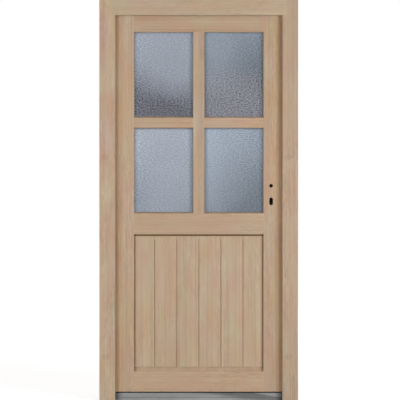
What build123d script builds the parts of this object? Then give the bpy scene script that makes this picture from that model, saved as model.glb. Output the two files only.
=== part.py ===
"""Timber side door: a leaf with four panes over a grooved panel, hung in a rebated frame.

The door stands on z = 0 and is centred on x = 0. The outside faces -Y and the lock is at +X.
All sizes are in millimetres.
"""

import os

from build123d import *

os.makedirs("parts", exist_ok=True)

# Frame
frame_width = 980.0
frame_height = 1980.0
frame_depth = 68.0
frame_face = 78.0  # jambs and head, seen from outside
lip_thickness = 12.0  # stop lip that the leaf closes behind
frame_bevel = 3.0  # arris round the opening
timber_arris = 2.0  # softened outer corners

# Leaf in the frame
leaf_thickness = 68.0
leaf_setback = 20.0  # leaf face behind frame face
leaf_cover = 11.0  # leaf edge hidden behind the stop lip
rebate_air = 12.0  # leaf edge to jamb
lap_width = 27.0  # lap over the inside of the frame
lap_thickness = 15.0
threshold_height = 36.0
threshold_air = 6.5  # threshold to leaf

# Leaf members, as they show on the outside
stile_sight = 92.0
top_rail_sight = 81.0
middle_rail_face = 105.0
bottom_rail_face = 98.5
bar_width = 56.0
pane_slope = 5.0  # rise of the weathered sill under each pane
pane_sight_height = 417.5
panel_slope = 22.0  # rise of the weathered sill under the panel
sight_bevel = 2.5  # arris round the panes
panel_bevel = 1.5  # arris round the panel

# Glazing
glazing_lip = 11.0  # timber in front of the glass
glazing_rebate = 15.0
edge_air = 3.0  # glass edge to timber
tape = 3.0  # bedding on both faces of the glass
sealant_sight = 1.0  # sealant that shows past the timber
glass_sheet = 4.0
glass_cavity = 16.0
spacer_width = 14.0
bead_sink = 2.0  # bead below the inside face
bead_bevel = 7.0
mitre_gap = 0.3

# Panel
field_recess = 8.0  # outside field behind the leaf face
inner_field = 16.0  # inside field in front of the tongue
field_side_gap = 5.0
field_top_gap = 7.0
field_foot_gap = 1.0
groove_count = 5
groove_pitch = 109.3
groove_width = 8.0
groove_depth = 4.0
groove_stop = 19.0  # plain margin over the grooves

# Lock
handle_height = 1061.0
backset = 65.0
spindle_hole = 18.0
spindle_square = 8.0
follower = 15.0
follower_web = 2.0  # between the outside and the inside spindle socket
cylinder_distance = 72.0  # spindle to cylinder core
cylinder_core = 17.0
cylinder_web = 10.0
cylinder_height = 33.0
slot_width = 18.0
slot_height = 38.0
case_thickness = 15.0
case_behind = 17.0  # case behind the spindle
case_above = 48.0
case_below = 117.0
case_air = 0.5
faceplate_width = 22.0
faceplate_above = 82.0
faceplate_below = 153.0
plate_thickness = 3.0
bolt_thickness = 12.0
latch_height = 30.0
latch_offset = 12.0  # latch over the spindle
bolt_height = 36.0
bolt_offset = -62.0  # dead bolt under the spindle
bolt_proud = 3.0
bolt_air = 0.4
strike_width = 26.0
strike_pocket = 14.0
strike_margin = 2.5  # opening round each bolt
strike_end = 30.0  # plate past the outermost opening

# Hinges
hinge_inset = 215.0  # outer hinges from the ends of the leaf
knuckle_radius = 8.0
knuckle_length = 40.0
knuckle_chamfer = 1.5
knuckle_air = 1.5  # knuckle to lap edge
knuckle_gap = 0.5
pin_radius = 4.0
pin_length = 32.0
pin_play = 0.05
stem_radius = 4.0
stem_depth = 40.0
stem_spread = 11.0  # stems above and below the middle of a knuckle
stem_play = 0.1

# Threshold and seals
upstand_setback = 2.0  # upstand behind the leaf face
nose_proud = 5.0  # nose in front of the upstand
nose_height = 11.0
nose_rise = 4.0  # slope from the nose to the upstand
rail_depth = 20.0  # upstand, front to back
core_depth = 14.0
tread_fall = 4.0
metal_wall = 2.5
metal_round = 1.5
seal_height = 3.0
seal_groove = 1.5  # threshold seal let into the core
seal_width = 7.0
seal_end_air = 1.5

# Planes across the door, from outside to inside
front = -frame_depth / 2
back = frame_depth / 2
lip_back = front + lip_thickness
leaf_front = front + leaf_setback
leaf_back = leaf_front + leaf_thickness
lap_front = leaf_back - lap_thickness
glazing_back = leaf_front + glazing_lip
glass_front = glazing_back + tape
glass_back = glass_front + 2 * glass_sheet + glass_cavity
bead_front = glass_back + tape
bead_back = leaf_back - bead_sink
field_front = leaf_front + field_recess
field_back = glass_back + inner_field
lock_y = (leaf_front + lap_front) / 2

# Lines across the width, as distances from the middle
outer_half = frame_width / 2
opening_half = outer_half - frame_face
leaf_half = opening_half + leaf_cover
rebate_half = leaf_half + rebate_air
lap_half = leaf_half + lap_width
sight_half = opening_half - stile_sight
wall_half = sight_half + glazing_rebate
bar_half = bar_width / 2
web_half = bar_half - glazing_rebate
engagement = glazing_rebate - edge_air
spindle_x = leaf_half - backset
hinge_x = -(lap_half + knuckle_air + knuckle_radius)
hinge_y = (lap_front + leaf_back) / 2

# Heights
head_under = frame_height - frame_face
leaf_top = head_under + leaf_cover
rebate_top = leaf_top + rebate_air
lap_top = leaf_top + lap_width
leaf_foot = threshold_height + threshold_air
glass_top = head_under - top_rail_sight
bar_top = glass_top - pane_sight_height
bar_under = bar_top - bar_width
rail_top = bar_under - pane_sight_height
rail_under = rail_top - pane_slope - middle_rail_face
slope_foot = leaf_foot + bottom_rail_face
slope_head = slope_foot + panel_slope
cylinder_z = handle_height - cylinder_distance
cylinder_foot = cylinder_z + cylinder_core / 2 - cylinder_height
slot_z = cylinder_foot + slot_height / 2

pane_rows = {"upper": (bar_top, glass_top), "lower": (rail_top, bar_under)}
pane_columns = {"left": (-sight_half, -bar_half), "right": (bar_half, sight_half)}
panes = {
    f"{row}_{column}": (pane_columns[column], pane_rows[row])
    for row in pane_rows
    for column in pane_columns
}
panel_sight = ((-sight_half, sight_half), (slope_head, rail_under))
panel_field = (
    (field_side_gap - sight_half, sight_half - field_side_gap),
    (slope_head + field_foot_gap, rail_under - field_top_gap),
)
bolts = {"latch": (latch_offset, latch_height), "dead_bolt": (bolt_offset, bolt_height)}
hinge_heights = {
    "lower": leaf_foot + hinge_inset,
    "middle": (leaf_foot + leaf_top) / 2,
    "upper": leaf_top - hinge_inset,
}


def save(part, name):
    """Label a finished sub-part and write it out."""
    part.label = name
    export_step(part, f"parts/{name}.step")


def block(x, y, z, mode=Mode.ADD):
    """A square-edged block between two corners, in the sub-part being built."""
    spans = [sorted(span) for span in (x, y, z)]
    middle = [(low + high) / 2 for low, high in spans]
    with Locations(tuple(middle)):
        Box(*[high - low for low, high in spans], mode=mode)


def grown(span, amount):
    """A span made longer by the same amount at both ends."""
    return (span[0] - amount, span[1] + amount)


def enlarged(opening, amount):
    """A rectangle, given by its two spans, made larger by the same amount all round."""
    return tuple(grown(span, amount) for span in opening)


def upright_plane(y):
    """The plane across the door at a depth, with X and Z as its axes."""
    return Plane(origin=(0, y, 0), x_dir=(1, 0, 0), z_dir=(0, -1, 0))


def flare(x, z, deep, face, growth):
    """A tapered plug that widens from a rectangle at one depth to a larger one at the face."""
    with BuildPart() as plug:
        for depth, amount in ((deep, 0.0), (face, growth)):
            with BuildSketch(upright_plane(depth)):
                with Locations(((x[0] + x[1]) / 2, (z[0] + z[1]) / 2)):
                    Rectangle(x[1] - x[0] + 2 * amount, z[1] - z[0] + 2 * amount)
        loft()
    return plug.part


def arris(x, z, face, size):
    """The cutter that bevels the edge of a rectangular opening in an outside face."""
    return flare(x, z, face + size, face - size, 2 * size)


def ring(outer, inner, y):
    """A band in the plane of the door, between an outer and an inner rectangle."""
    with BuildPart() as band:
        block(outer[0], y, outer[1])
        block(inner[0], y, inner[1], Mode.SUBTRACT)
    return band.part


# The arrises are worked after the joints are made, so that they run round every corner
frame_arris = arris((-opening_half, opening_half), (-frame_face, head_under), front, frame_bevel)
pane_sill = pane_slope * (sight_bevel / glazing_lip - 1)
leaf_arrises = [
    arris(x, (z[0] + pane_sill, z[1]), leaf_front, sight_bevel) for x, z in panes.values()
]
panel_sill = slope_foot + panel_slope * panel_bevel / field_recess
leaf_arrises.append(
    arris(panel_sight[0], (panel_sill, rail_under), leaf_front, panel_bevel)
)


def jamb_blank(side):
    """A rebated jamb, cut back at its head to take the lip of the frame head."""
    with BuildPart() as jamb:
        with BuildSketch():
            with BuildLine():
                FilletPolyline(
                    (side * outer_half, front),
                    (side * opening_half, front),
                    (side * opening_half, lip_back),
                    (side * rebate_half, lip_back),
                    (side * rebate_half, back),
                    (side * outer_half, back),
                    radius=(timber_arris, 0, 0, 0, timber_arris, timber_arris),
                    close=True,
                )
            make_face()
        extrude(amount=frame_height)
        block(
            (side * opening_half, side * rebate_half),
            (front, lip_back),
            (head_under, frame_height),
            Mode.SUBTRACT,
        )
        add(frame_arris, mode=Mode.SUBTRACT)
    return jamb.part


with BuildPart() as hinge_jamb:
    add(jamb_blank(-1))
    with BuildSketch(upright_plane(back)):
        for height in hinge_heights.values():
            with Locations((hinge_x, height - knuckle_length / 2)):
                with GridLocations(1, 2 * stem_spread, 1, 2):
                    Circle(stem_radius + stem_play)
    extrude(amount=stem_depth + stem_play, mode=Mode.SUBTRACT)
save(hinge_jamb.part, "hinge_jamb")

strike_high = handle_height + latch_offset + latch_height / 2 + strike_margin + strike_end
strike_low = handle_height + bolt_offset - bolt_height / 2 - strike_margin - strike_end
strike_y = (lock_y - strike_width / 2, lock_y + strike_width / 2)

with BuildPart() as lock_jamb:
    add(jamb_blank(1))
    block(
        (rebate_half, rebate_half + plate_thickness),
        strike_y,
        (strike_low, strike_high),
        Mode.SUBTRACT,
    )
    for offset, height in bolts.values():
        reach = height / 2 + strike_margin
        block(
            (rebate_half, rebate_half + plate_thickness + strike_pocket),
            (lock_y - bolt_thickness / 2 - strike_margin, lock_y + bolt_thickness / 2 + strike_margin),
            (handle_height + offset - reach, handle_height + offset + reach),
            Mode.SUBTRACT,
        )
save(lock_jamb.part, "lock_jamb")

with BuildPart() as strike_plate:
    block((rebate_half, rebate_half + plate_thickness), strike_y, (strike_low, strike_high))
    for offset, height in bolts.values():
        reach = height / 2 + strike_margin
        block(
            (rebate_half, rebate_half + plate_thickness),
            (lock_y - bolt_thickness / 2 - strike_margin, lock_y + bolt_thickness / 2 + strike_margin),
            (handle_height + offset - reach, handle_height + offset + reach),
            Mode.SUBTRACT,
        )
save(strike_plate.part, "strike_plate")

with BuildPart() as frame_head:
    with BuildSketch(Plane.YZ):
        with BuildLine():
            FilletPolyline(
                (front, head_under),
                (lip_back, head_under),
                (lip_back, rebate_top),
                (back, rebate_top),
                (back, frame_height),
                (front, frame_height),
                radius=(0, 0, 0, timber_arris, timber_arris, timber_arris),
                close=True,
            )
        make_face()
    extrude(amount=rebate_half, both=True)
    add(frame_arris, mode=Mode.SUBTRACT)
save(frame_head.part, "frame_head")

# Threshold: nose and upstand in one hollow rail, then the thermal break and the inner rail
upstand = leaf_front + upstand_setback
nose = upstand - nose_proud
core_front = upstand + rail_depth
core_back = core_front + core_depth

with BuildPart() as threshold_rail:
    with BuildSketch(Plane.YZ):
        with BuildLine():
            FilletPolyline(
                (nose, 0),
                (nose, nose_height),
                (upstand, nose_height + nose_rise),
                (upstand, threshold_height),
                (core_front, threshold_height),
                (core_front, 0),
                radius=(0, metal_round, metal_round, metal_round, 0, 0),
                close=True,
            )
        make_face()
        chamber = (rail_depth - 2 * metal_wall, threshold_height - 2 * metal_wall)
        with Locations((upstand + rail_depth / 2, threshold_height / 2)):
            Rectangle(*chamber, mode=Mode.SUBTRACT)
    extrude(amount=rebate_half, both=True)
save(threshold_rail.part, "threshold_rail")

seal_y = (core_front + core_back) / 2
seal_foot = threshold_height - seal_groove

with BuildPart() as threshold_core:
    block((-rebate_half, rebate_half), (core_front, core_back), (0, threshold_height))
    block(
        (-rebate_half, rebate_half),
        grown((seal_y, seal_y), seal_width / 2),
        (seal_foot, threshold_height),
        Mode.SUBTRACT,
    )
save(threshold_core.part, "threshold_core")

with BuildPart() as threshold_tread:
    with BuildSketch(Plane.YZ):
        with BuildLine():
            FilletPolyline(
                (core_back, 0),
                (core_back, threshold_height),
                (back, threshold_height - tread_fall),
                (back, 0),
                radius=(0, 0, metal_round, 0),
                close=True,
            )
        make_face()
        with BuildLine():
            Polyline(
                (core_back + metal_wall, metal_wall),
                (core_back + metal_wall, threshold_height - tread_fall - metal_wall),
                (back - metal_wall, threshold_height - tread_fall - metal_wall),
                (back - metal_wall, metal_wall),
                close=True,
            )
        make_face(mode=Mode.SUBTRACT)
    extrude(amount=rebate_half, both=True)
save(threshold_tread.part, "threshold_tread")


def seal_section(plane, along, across):
    """The rounded section of a bulb seal, with its flat back on the given plane axis."""
    with BuildSketch(plane) as section:
        with Locations((along, across + seal_height / 2)):
            RectangleRounded(seal_width, seal_height, seal_height / 2 - 0.1)
    return section.sketch


with BuildPart() as threshold_seal:
    extrude(
        seal_section(Plane.YZ, seal_y, seal_foot),
        amount=rebate_half - seal_end_air,
        both=True,
    )
save(threshold_seal.part, "threshold_seal")

with BuildPart() as frame_seals:
    seal_line = seal_end_air + seal_width / 2
    for side in (-1, 1):
        extrude(
            seal_section(
                Plane.XY.offset(threshold_height + seal_end_air),
                side * (opening_half + seal_line),
                lip_back,
            ),
            amount=head_under - threshold_height - 2 * seal_end_air,
        )
    head_plane = Plane(origin=(0, 0, 0), x_dir=(0, 0, 1), z_dir=(-1, 0, 0))
    extrude(
        seal_section(head_plane, head_under + seal_line, lip_back),
        amount=opening_half,
        both=True,
    )
save(frame_seals.part, "frame_seals")


def stile_blank(side):
    """A stile with its lap on the outer edge and the glazing rebate on the inner one."""
    with BuildPart() as stile:
        with BuildSketch(Plane.XY.offset(leaf_foot)):
            with BuildLine():
                FilletPolyline(
                    (side * sight_half, leaf_front),
                    (side * leaf_half, leaf_front),
                    (side * leaf_half, lap_front),
                    (side * lap_half, lap_front),
                    (side * lap_half, leaf_back),
                    (side * wall_half, leaf_back),
                    (side * wall_half, glazing_back),
                    (side * sight_half, glazing_back),
                    radius=(0, timber_arris, 0, timber_arris / 2, timber_arris, 0, 0, 0),
                    close=True,
                )
            make_face()
        extrude(amount=lap_top - leaf_foot)
        block(
            (side * sight_half, side * lap_half),
            (leaf_front, lap_front),
            (leaf_top, lap_top),
            Mode.SUBTRACT,
        )
        for cutter in leaf_arrises:
            add(cutter, mode=Mode.SUBTRACT)
    return stile.part


with BuildPart() as hinge_stile:
    add(stile_blank(-1))
    with BuildSketch(Plane.YZ.offset(-lap_half)):
        for height in hinge_heights.values():
            with Locations((hinge_y, height + knuckle_gap + knuckle_length / 2)):
                with GridLocations(1, 2 * stem_spread, 1, 2):
                    Circle(stem_radius + stem_play)
    extrude(amount=stem_depth + stem_play, mode=Mode.SUBTRACT)
save(hinge_stile.part, "hinge_stile")

case_x = (spindle_x - case_behind, leaf_half - plate_thickness)
case_y = (lock_y - case_thickness / 2, lock_y + case_thickness / 2)
case_z = (handle_height - case_below, handle_height + case_above)
faceplate_y = (lock_y - faceplate_width / 2, lock_y + faceplate_width / 2)
faceplate_z = (handle_height - faceplate_below, handle_height + faceplate_above)

with BuildPart() as lock_stile:
    add(stile_blank(1))
    block(
        (case_x[0] - case_air, leaf_half),
        grown(case_y, case_air),
        grown(case_z, case_air),
        Mode.SUBTRACT,
    )
    block((case_x[1], leaf_half), faceplate_y, faceplate_z, Mode.SUBTRACT)
    with BuildSketch(upright_plane(leaf_back)):
        with Locations((spindle_x, handle_height)):
            Circle(spindle_hole / 2)
    extrude(amount=leaf_thickness, mode=Mode.SUBTRACT)
    with BuildSketch(upright_plane(lock_y)):
        with Locations((spindle_x, slot_z)):
            SlotOverall(slot_height, slot_width, rotation=90)
    extrude(amount=lock_y - leaf_front, mode=Mode.SUBTRACT)
save(lock_stile.part, "lock_stile")

with BuildPart() as lock_case:
    block(case_x, case_y, case_z)
    for face in case_y:
        block(
            grown((spindle_x, spindle_x), spindle_square / 2),
            (face, lock_y + (follower_web if face > lock_y else -follower_web) / 2),
            grown((handle_height, handle_height), spindle_square / 2),
            Mode.SUBTRACT,
        )
    with BuildSketch(upright_plane(case_y[1])):
        with Locations((spindle_x, cylinder_z)):
            Circle(cylinder_core / 2)
        with Locations((spindle_x, (cylinder_z + cylinder_foot) / 2)):
            Rectangle(cylinder_web, cylinder_z - cylinder_foot)
    extrude(amount=case_thickness, mode=Mode.SUBTRACT)
    for face in case_y:
        with BuildSketch(upright_plane(face)):
            with Locations((spindle_x, handle_height)):
                Circle(follower / 2)
                Circle(follower / 2 - 1, mode=Mode.SUBTRACT)
        extrude(amount=case_air, both=True, mode=Mode.SUBTRACT)
save(lock_case.part, "lock_case")

with BuildPart() as lock_faceplate:
    block((case_x[1], leaf_half), faceplate_y, faceplate_z)
    for offset, height in bolts.values():
        block(
            (case_x[1], leaf_half),
            (lock_y - bolt_thickness / 2 - bolt_air, lock_y + bolt_thickness / 2 + bolt_air),
            (
                handle_height + offset - height / 2 - bolt_air,
                handle_height + offset + height / 2 + bolt_air,
            ),
            Mode.SUBTRACT,
        )
save(lock_faceplate.part, "lock_faceplate")

with BuildPart() as lock_bolts:
    for offset, height in bolts.values():
        block(
            (case_x[1], leaf_half + bolt_proud),
            (lock_y - bolt_thickness / 2, lock_y + bolt_thickness / 2),
            (handle_height + offset - height / 2, handle_height + offset + height / 2),
        )
    chamfer(lock_bolts.faces().filter_by_position(Axis.X, leaf_half, lap_half).edges(), 1.0)
save(lock_bolts.part, "lock_bolts")


def cope(side, x, z):
    """Cut the front lip off the end of a rail or bar, so that it stops at the sight line."""
    block((side * x[0], side * x[1]), (leaf_front, glazing_back), z, Mode.SUBTRACT)


with BuildPart() as top_rail:
    with BuildSketch(Plane.YZ):
        with BuildLine():
            FilletPolyline(
                (leaf_front, glass_top),
                (glazing_back, glass_top),
                (glazing_back, glass_top + glazing_rebate),
                (leaf_back, glass_top + glazing_rebate),
                (leaf_back, lap_top),
                (lap_front, lap_top),
                (lap_front, leaf_top),
                (leaf_front, leaf_top),
                radius=(0, 0, 0, 0, timber_arris, timber_arris / 2, 0, 0),
                close=True,
            )
        make_face()
    extrude(amount=wall_half, both=True)
    for side in (-1, 1):
        cope(side, (sight_half, wall_half), (glass_top, leaf_top))
    for cutter in leaf_arrises:
        add(cutter, mode=Mode.SUBTRACT)
save(top_rail.part, "top_rail")

with BuildPart() as middle_rail:
    with BuildSketch(Plane.YZ):
        with BuildLine():
            Polyline(
                (leaf_front, rail_under),
                (glazing_back, rail_under),
                (glazing_back, rail_under + glazing_rebate),
                (leaf_back, rail_under + glazing_rebate),
                (leaf_back, rail_top - glazing_rebate),
                (glazing_back, rail_top - glazing_rebate),
                (glazing_back, rail_top),
                (leaf_front, rail_top - pane_slope),
                close=True,
            )
        make_face()
    extrude(amount=wall_half, both=True)
    for side in (-1, 1):
        cope(side, (sight_half, wall_half), (rail_under, rail_top))
    for cutter in leaf_arrises:
        add(cutter, mode=Mode.SUBTRACT)
save(middle_rail.part, "middle_rail")

with BuildPart() as bottom_rail:
    with BuildSketch(Plane.YZ):
        with BuildLine():
            Polyline(
                (leaf_front, leaf_foot),
                (leaf_back, leaf_foot),
                (leaf_back, slope_head - glazing_rebate),
                (glazing_back, slope_head - glazing_rebate),
                (glazing_back, slope_head),
                (field_front, slope_head),
                (leaf_front, slope_foot),
                close=True,
            )
        make_face()
    extrude(amount=wall_half, both=True)
    for side in (-1, 1):
        cope(side, (sight_half, wall_half), (leaf_foot, slope_head))
    for cutter in leaf_arrises:
        add(cutter, mode=Mode.SUBTRACT)
save(bottom_rail.part, "bottom_rail")

with BuildPart() as upright_bar:
    with BuildSketch(Plane.XY.offset(rail_top - glazing_rebate)):
        with Locations((0, (leaf_front + glazing_back) / 2)):
            Rectangle(bar_width, glazing_lip)
        with Locations((0, (leaf_front + leaf_back) / 2)):
            Rectangle(2 * web_half, leaf_thickness)
    extrude(amount=glass_top - rail_top + 2 * glazing_rebate)
    block(
        (-bar_half, bar_half),
        (leaf_front, glazing_back),
        (glass_top, glass_top + glazing_rebate),
        Mode.SUBTRACT,
    )
    with BuildSketch(Plane.YZ):
        with BuildLine():
            Polyline(
                (leaf_front, rail_top - pane_slope),
                (glazing_back, rail_top),
                (glazing_back, rail_top - glazing_rebate),
                (leaf_front, rail_top - glazing_rebate),
                close=True,
            )
        make_face()
    extrude(amount=bar_half, both=True, mode=Mode.SUBTRACT)
    for cutter in leaf_arrises:
        add(cutter, mode=Mode.SUBTRACT)
save(upright_bar.part, "upright_bar")


def cross_bar(side):
    """Half of the horizontal glazing bar, weathered on top, from a stile to the upright bar."""
    with BuildPart() as bar:
        with BuildSketch(Plane.YZ.offset(side * web_half)):
            with BuildLine():
                Polyline(
                    (leaf_front, bar_under),
                    (glazing_back, bar_under),
                    (glazing_back, bar_under + glazing_rebate),
                    (leaf_back, bar_under + glazing_rebate),
                    (leaf_back, bar_top - glazing_rebate),
                    (glazing_back, bar_top - glazing_rebate),
                    (glazing_back, bar_top),
                    (leaf_front, bar_top - pane_slope),
                    close=True,
                )
            make_face()
        extrude(amount=side * (wall_half - web_half))
        cope(side, (sight_half, wall_half), (bar_under, bar_top))
        cope(side, (web_half, bar_half), (bar_under, bar_top))
        for cutter in leaf_arrises:
            add(cutter, mode=Mode.SUBTRACT)
    return bar.part


save(cross_bar(-1), "left_cross_bar")
save(cross_bar(1), "right_cross_bar")

for name, (x, z) in panes.items():
    for place, depth in (("outer", glass_front), ("inner", glass_back - glass_sheet)):
        with BuildPart() as sheet:
            block(grown(x, engagement), (depth, depth + glass_sheet), grown(z, engagement))
        save(sheet.part, f"{place}_glass_{name}")

with BuildPart() as glass_spacers:
    for pane in panes.values():
        unit = enlarged(pane, engagement)
        cavity = (glass_front + glass_sheet, glass_back - glass_sheet)
        add(ring(unit, enlarged(unit, -spacer_width), cavity))
save(glass_spacers.part, "glass_spacers")

with BuildPart() as glazing_seals:
    for pane in panes.values():
        unit = enlarged(pane, engagement)
        add(ring(unit, enlarged(pane, -sealant_sight), (glazing_back, glass_front)))
        add(ring(unit, pane, (glass_back, bead_front)))
    tongue = enlarged(panel_sight, engagement)
    add(ring(tongue, panel_field, (glazing_back, glass_front)))
    add(ring(tongue, panel_sight, (glass_back, bead_front)))
save(glazing_seals.part, "glazing_seals")


def bead_set(x, z):
    """Four mitred beads round an opening, sloped towards the glass."""
    with BuildPart() as beads:
        add(ring(enlarged((x, z), glazing_rebate), (x, z), (bead_front, bead_back)))
        add(flare(x, z, bead_back - bead_bevel, bead_back, bead_bevel), mode=Mode.SUBTRACT)
        with BuildSketch(upright_plane(bead_back)):
            for i, corner_x in enumerate(grown(x, glazing_rebate / 2)):
                for j, corner_z in enumerate(grown(z, glazing_rebate / 2)):
                    with Locations((corner_x, corner_z)):
                        Rectangle(3 * glazing_rebate, mitre_gap, rotation=45 if i == j else -45)
        extrude(amount=bead_back - bead_front, mode=Mode.SUBTRACT)
    return beads.part


for name, (x, z) in panes.items():
    save(bead_set(x, z), f"beads_{name}")
save(bead_set(*panel_sight), "panel_beads")

with BuildPart() as grooved_panel:
    field_x, field_z = panel_field
    block(tongue[0], (glass_front, glass_back), tongue[1])
    block(field_x, (field_front, glass_front), field_z)
    block(field_x, (glass_back, field_back), field_z)
    for face, into in ((field_front, 1), (field_back, -1)):
        with BuildSketch(Plane.XY.offset(field_z[0])):
            for place in GridLocations(groove_pitch, 1, groove_count, 1):
                middle = place.position.X
                with BuildLine():
                    Polyline(
                        (middle - groove_width / 2, face),
                        (middle, face + into * groove_depth),
                        (middle + groove_width / 2, face),
                        close=True,
                    )
                make_face()
        extrude(amount=field_z[1] - groove_stop - field_z[0], mode=Mode.SUBTRACT)
save(grooved_panel.part, "grooved_panel")


def hinge_frame_half(height):
    """The lower knuckle of a hinge, with the pin above it and two stems for the jamb."""
    with BuildPart() as half:
        with BuildSketch(Plane.XY.offset(height - knuckle_length)):
            with Locations((hinge_x, hinge_y)):
                Circle(knuckle_radius)
        extrude(amount=knuckle_length)
        chamfer(half.edges().filter_by(GeomType.CIRCLE).sort_by(Axis.Z)[0], knuckle_chamfer)
        with BuildSketch(Plane.XY.offset(height)):
            with Locations((hinge_x, hinge_y)):
                Circle(pin_radius)
        extrude(amount=pin_length)
        with BuildSketch(upright_plane(hinge_y)):
            with Locations((hinge_x, height - knuckle_length / 2)):
                with GridLocations(1, 2 * stem_spread, 1, 2):
                    Circle(stem_radius)
        extrude(amount=hinge_y - back + stem_depth)
    return half.part


def hinge_leaf_half(height):
    """The upper knuckle of a hinge, bored for the pin, with two stems for the stile."""
    foot = height + knuckle_gap
    with BuildPart() as half:
        with BuildSketch(Plane.XY.offset(foot)):
            with Locations((hinge_x, hinge_y)):
                Circle(knuckle_radius)
        extrude(amount=knuckle_length)
        chamfer(half.edges().filter_by(GeomType.CIRCLE).sort_by(Axis.Z)[-1], knuckle_chamfer)
        with BuildSketch(Plane.YZ.offset(hinge_x)):
            with Locations((hinge_y, foot + knuckle_length / 2)):
                with GridLocations(1, 2 * stem_spread, 1, 2):
                    Circle(stem_radius)
        extrude(amount=knuckle_radius + knuckle_air + stem_depth)
        with BuildSketch(Plane.XY.offset(foot)):
            with Locations((hinge_x, hinge_y)):
                Circle(pin_radius + pin_play)
        extrude(amount=pin_length, mode=Mode.SUBTRACT)
    return half.part


for name, height in hinge_heights.items():
    save(hinge_frame_half(height), f"{name}_hinge_frame_half")
    save(hinge_leaf_half(height), f"{name}_hinge_leaf_half")
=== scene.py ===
"""Dresses the side door: raw softwood, obscure glass, an aluminium threshold, steel lock and hinges.

The outside of the door faces -Y and the lock is at +X. All lengths are in metres.
"""

import logging
import math
from abc import ABC, abstractmethod
from dataclasses import dataclass
from enum import Enum
from typing import ClassVar

import bpy
import numpy as np
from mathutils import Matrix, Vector


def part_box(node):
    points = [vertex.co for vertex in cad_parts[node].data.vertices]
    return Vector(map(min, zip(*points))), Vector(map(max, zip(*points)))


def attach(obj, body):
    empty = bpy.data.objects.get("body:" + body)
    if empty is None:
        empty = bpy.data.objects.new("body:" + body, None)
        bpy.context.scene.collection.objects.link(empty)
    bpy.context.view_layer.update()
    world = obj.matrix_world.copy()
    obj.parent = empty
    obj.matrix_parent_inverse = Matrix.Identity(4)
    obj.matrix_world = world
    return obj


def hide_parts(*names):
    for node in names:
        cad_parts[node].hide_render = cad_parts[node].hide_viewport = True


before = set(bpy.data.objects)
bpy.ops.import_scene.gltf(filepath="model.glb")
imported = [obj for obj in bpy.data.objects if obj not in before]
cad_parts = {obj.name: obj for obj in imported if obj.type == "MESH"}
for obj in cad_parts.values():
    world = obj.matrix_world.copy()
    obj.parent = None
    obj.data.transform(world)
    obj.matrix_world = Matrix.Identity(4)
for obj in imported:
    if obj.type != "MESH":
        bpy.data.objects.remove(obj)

LOG = logging.getLogger("side_door")
PHOTO_SIDE = 400  # the photograph is square, in pixels
FAR = 9.0  # a place past every face of the door

Pair = tuple[float, float]
Triple = tuple[float, float, float]
Colour = Triple
Box = tuple[Triple, Triple]  # lowest and highest corner
Socket = bpy.types.NodeSocket
Source = Socket | float | tuple[float, ...]
Surface = tuple[np.ndarray, list[list[int]], np.ndarray]  # points, faces, and which faces are smooth

PANES = ("upper_left", "upper_right", "lower_left", "lower_right")
HINGES = ("lower", "middle", "upper")


class Grain(Enum):
    """The way the fibres of a piece of timber run."""

    UPRIGHT = 0.0
    LEVEL = 1.0


class Body(Enum):
    """The two bodies of the door."""

    FRAME = "frame"
    LEAF = "leaf"


class Kind(Enum):
    """What a socket of a node group carries."""

    NUMBER = "NodeSocketFloat"
    COLOUR = "NodeSocketColor"
    VECTOR = "NodeSocketVector"


class Mix(Enum):
    """What a Mix node blends: its data type, its inputs for factor and parts, and its output."""

    NUMBERS = ("FLOAT", (0, 2, 3), 0)
    COLOURS = ("RGBA", (0, 6, 7), 2)


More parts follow.
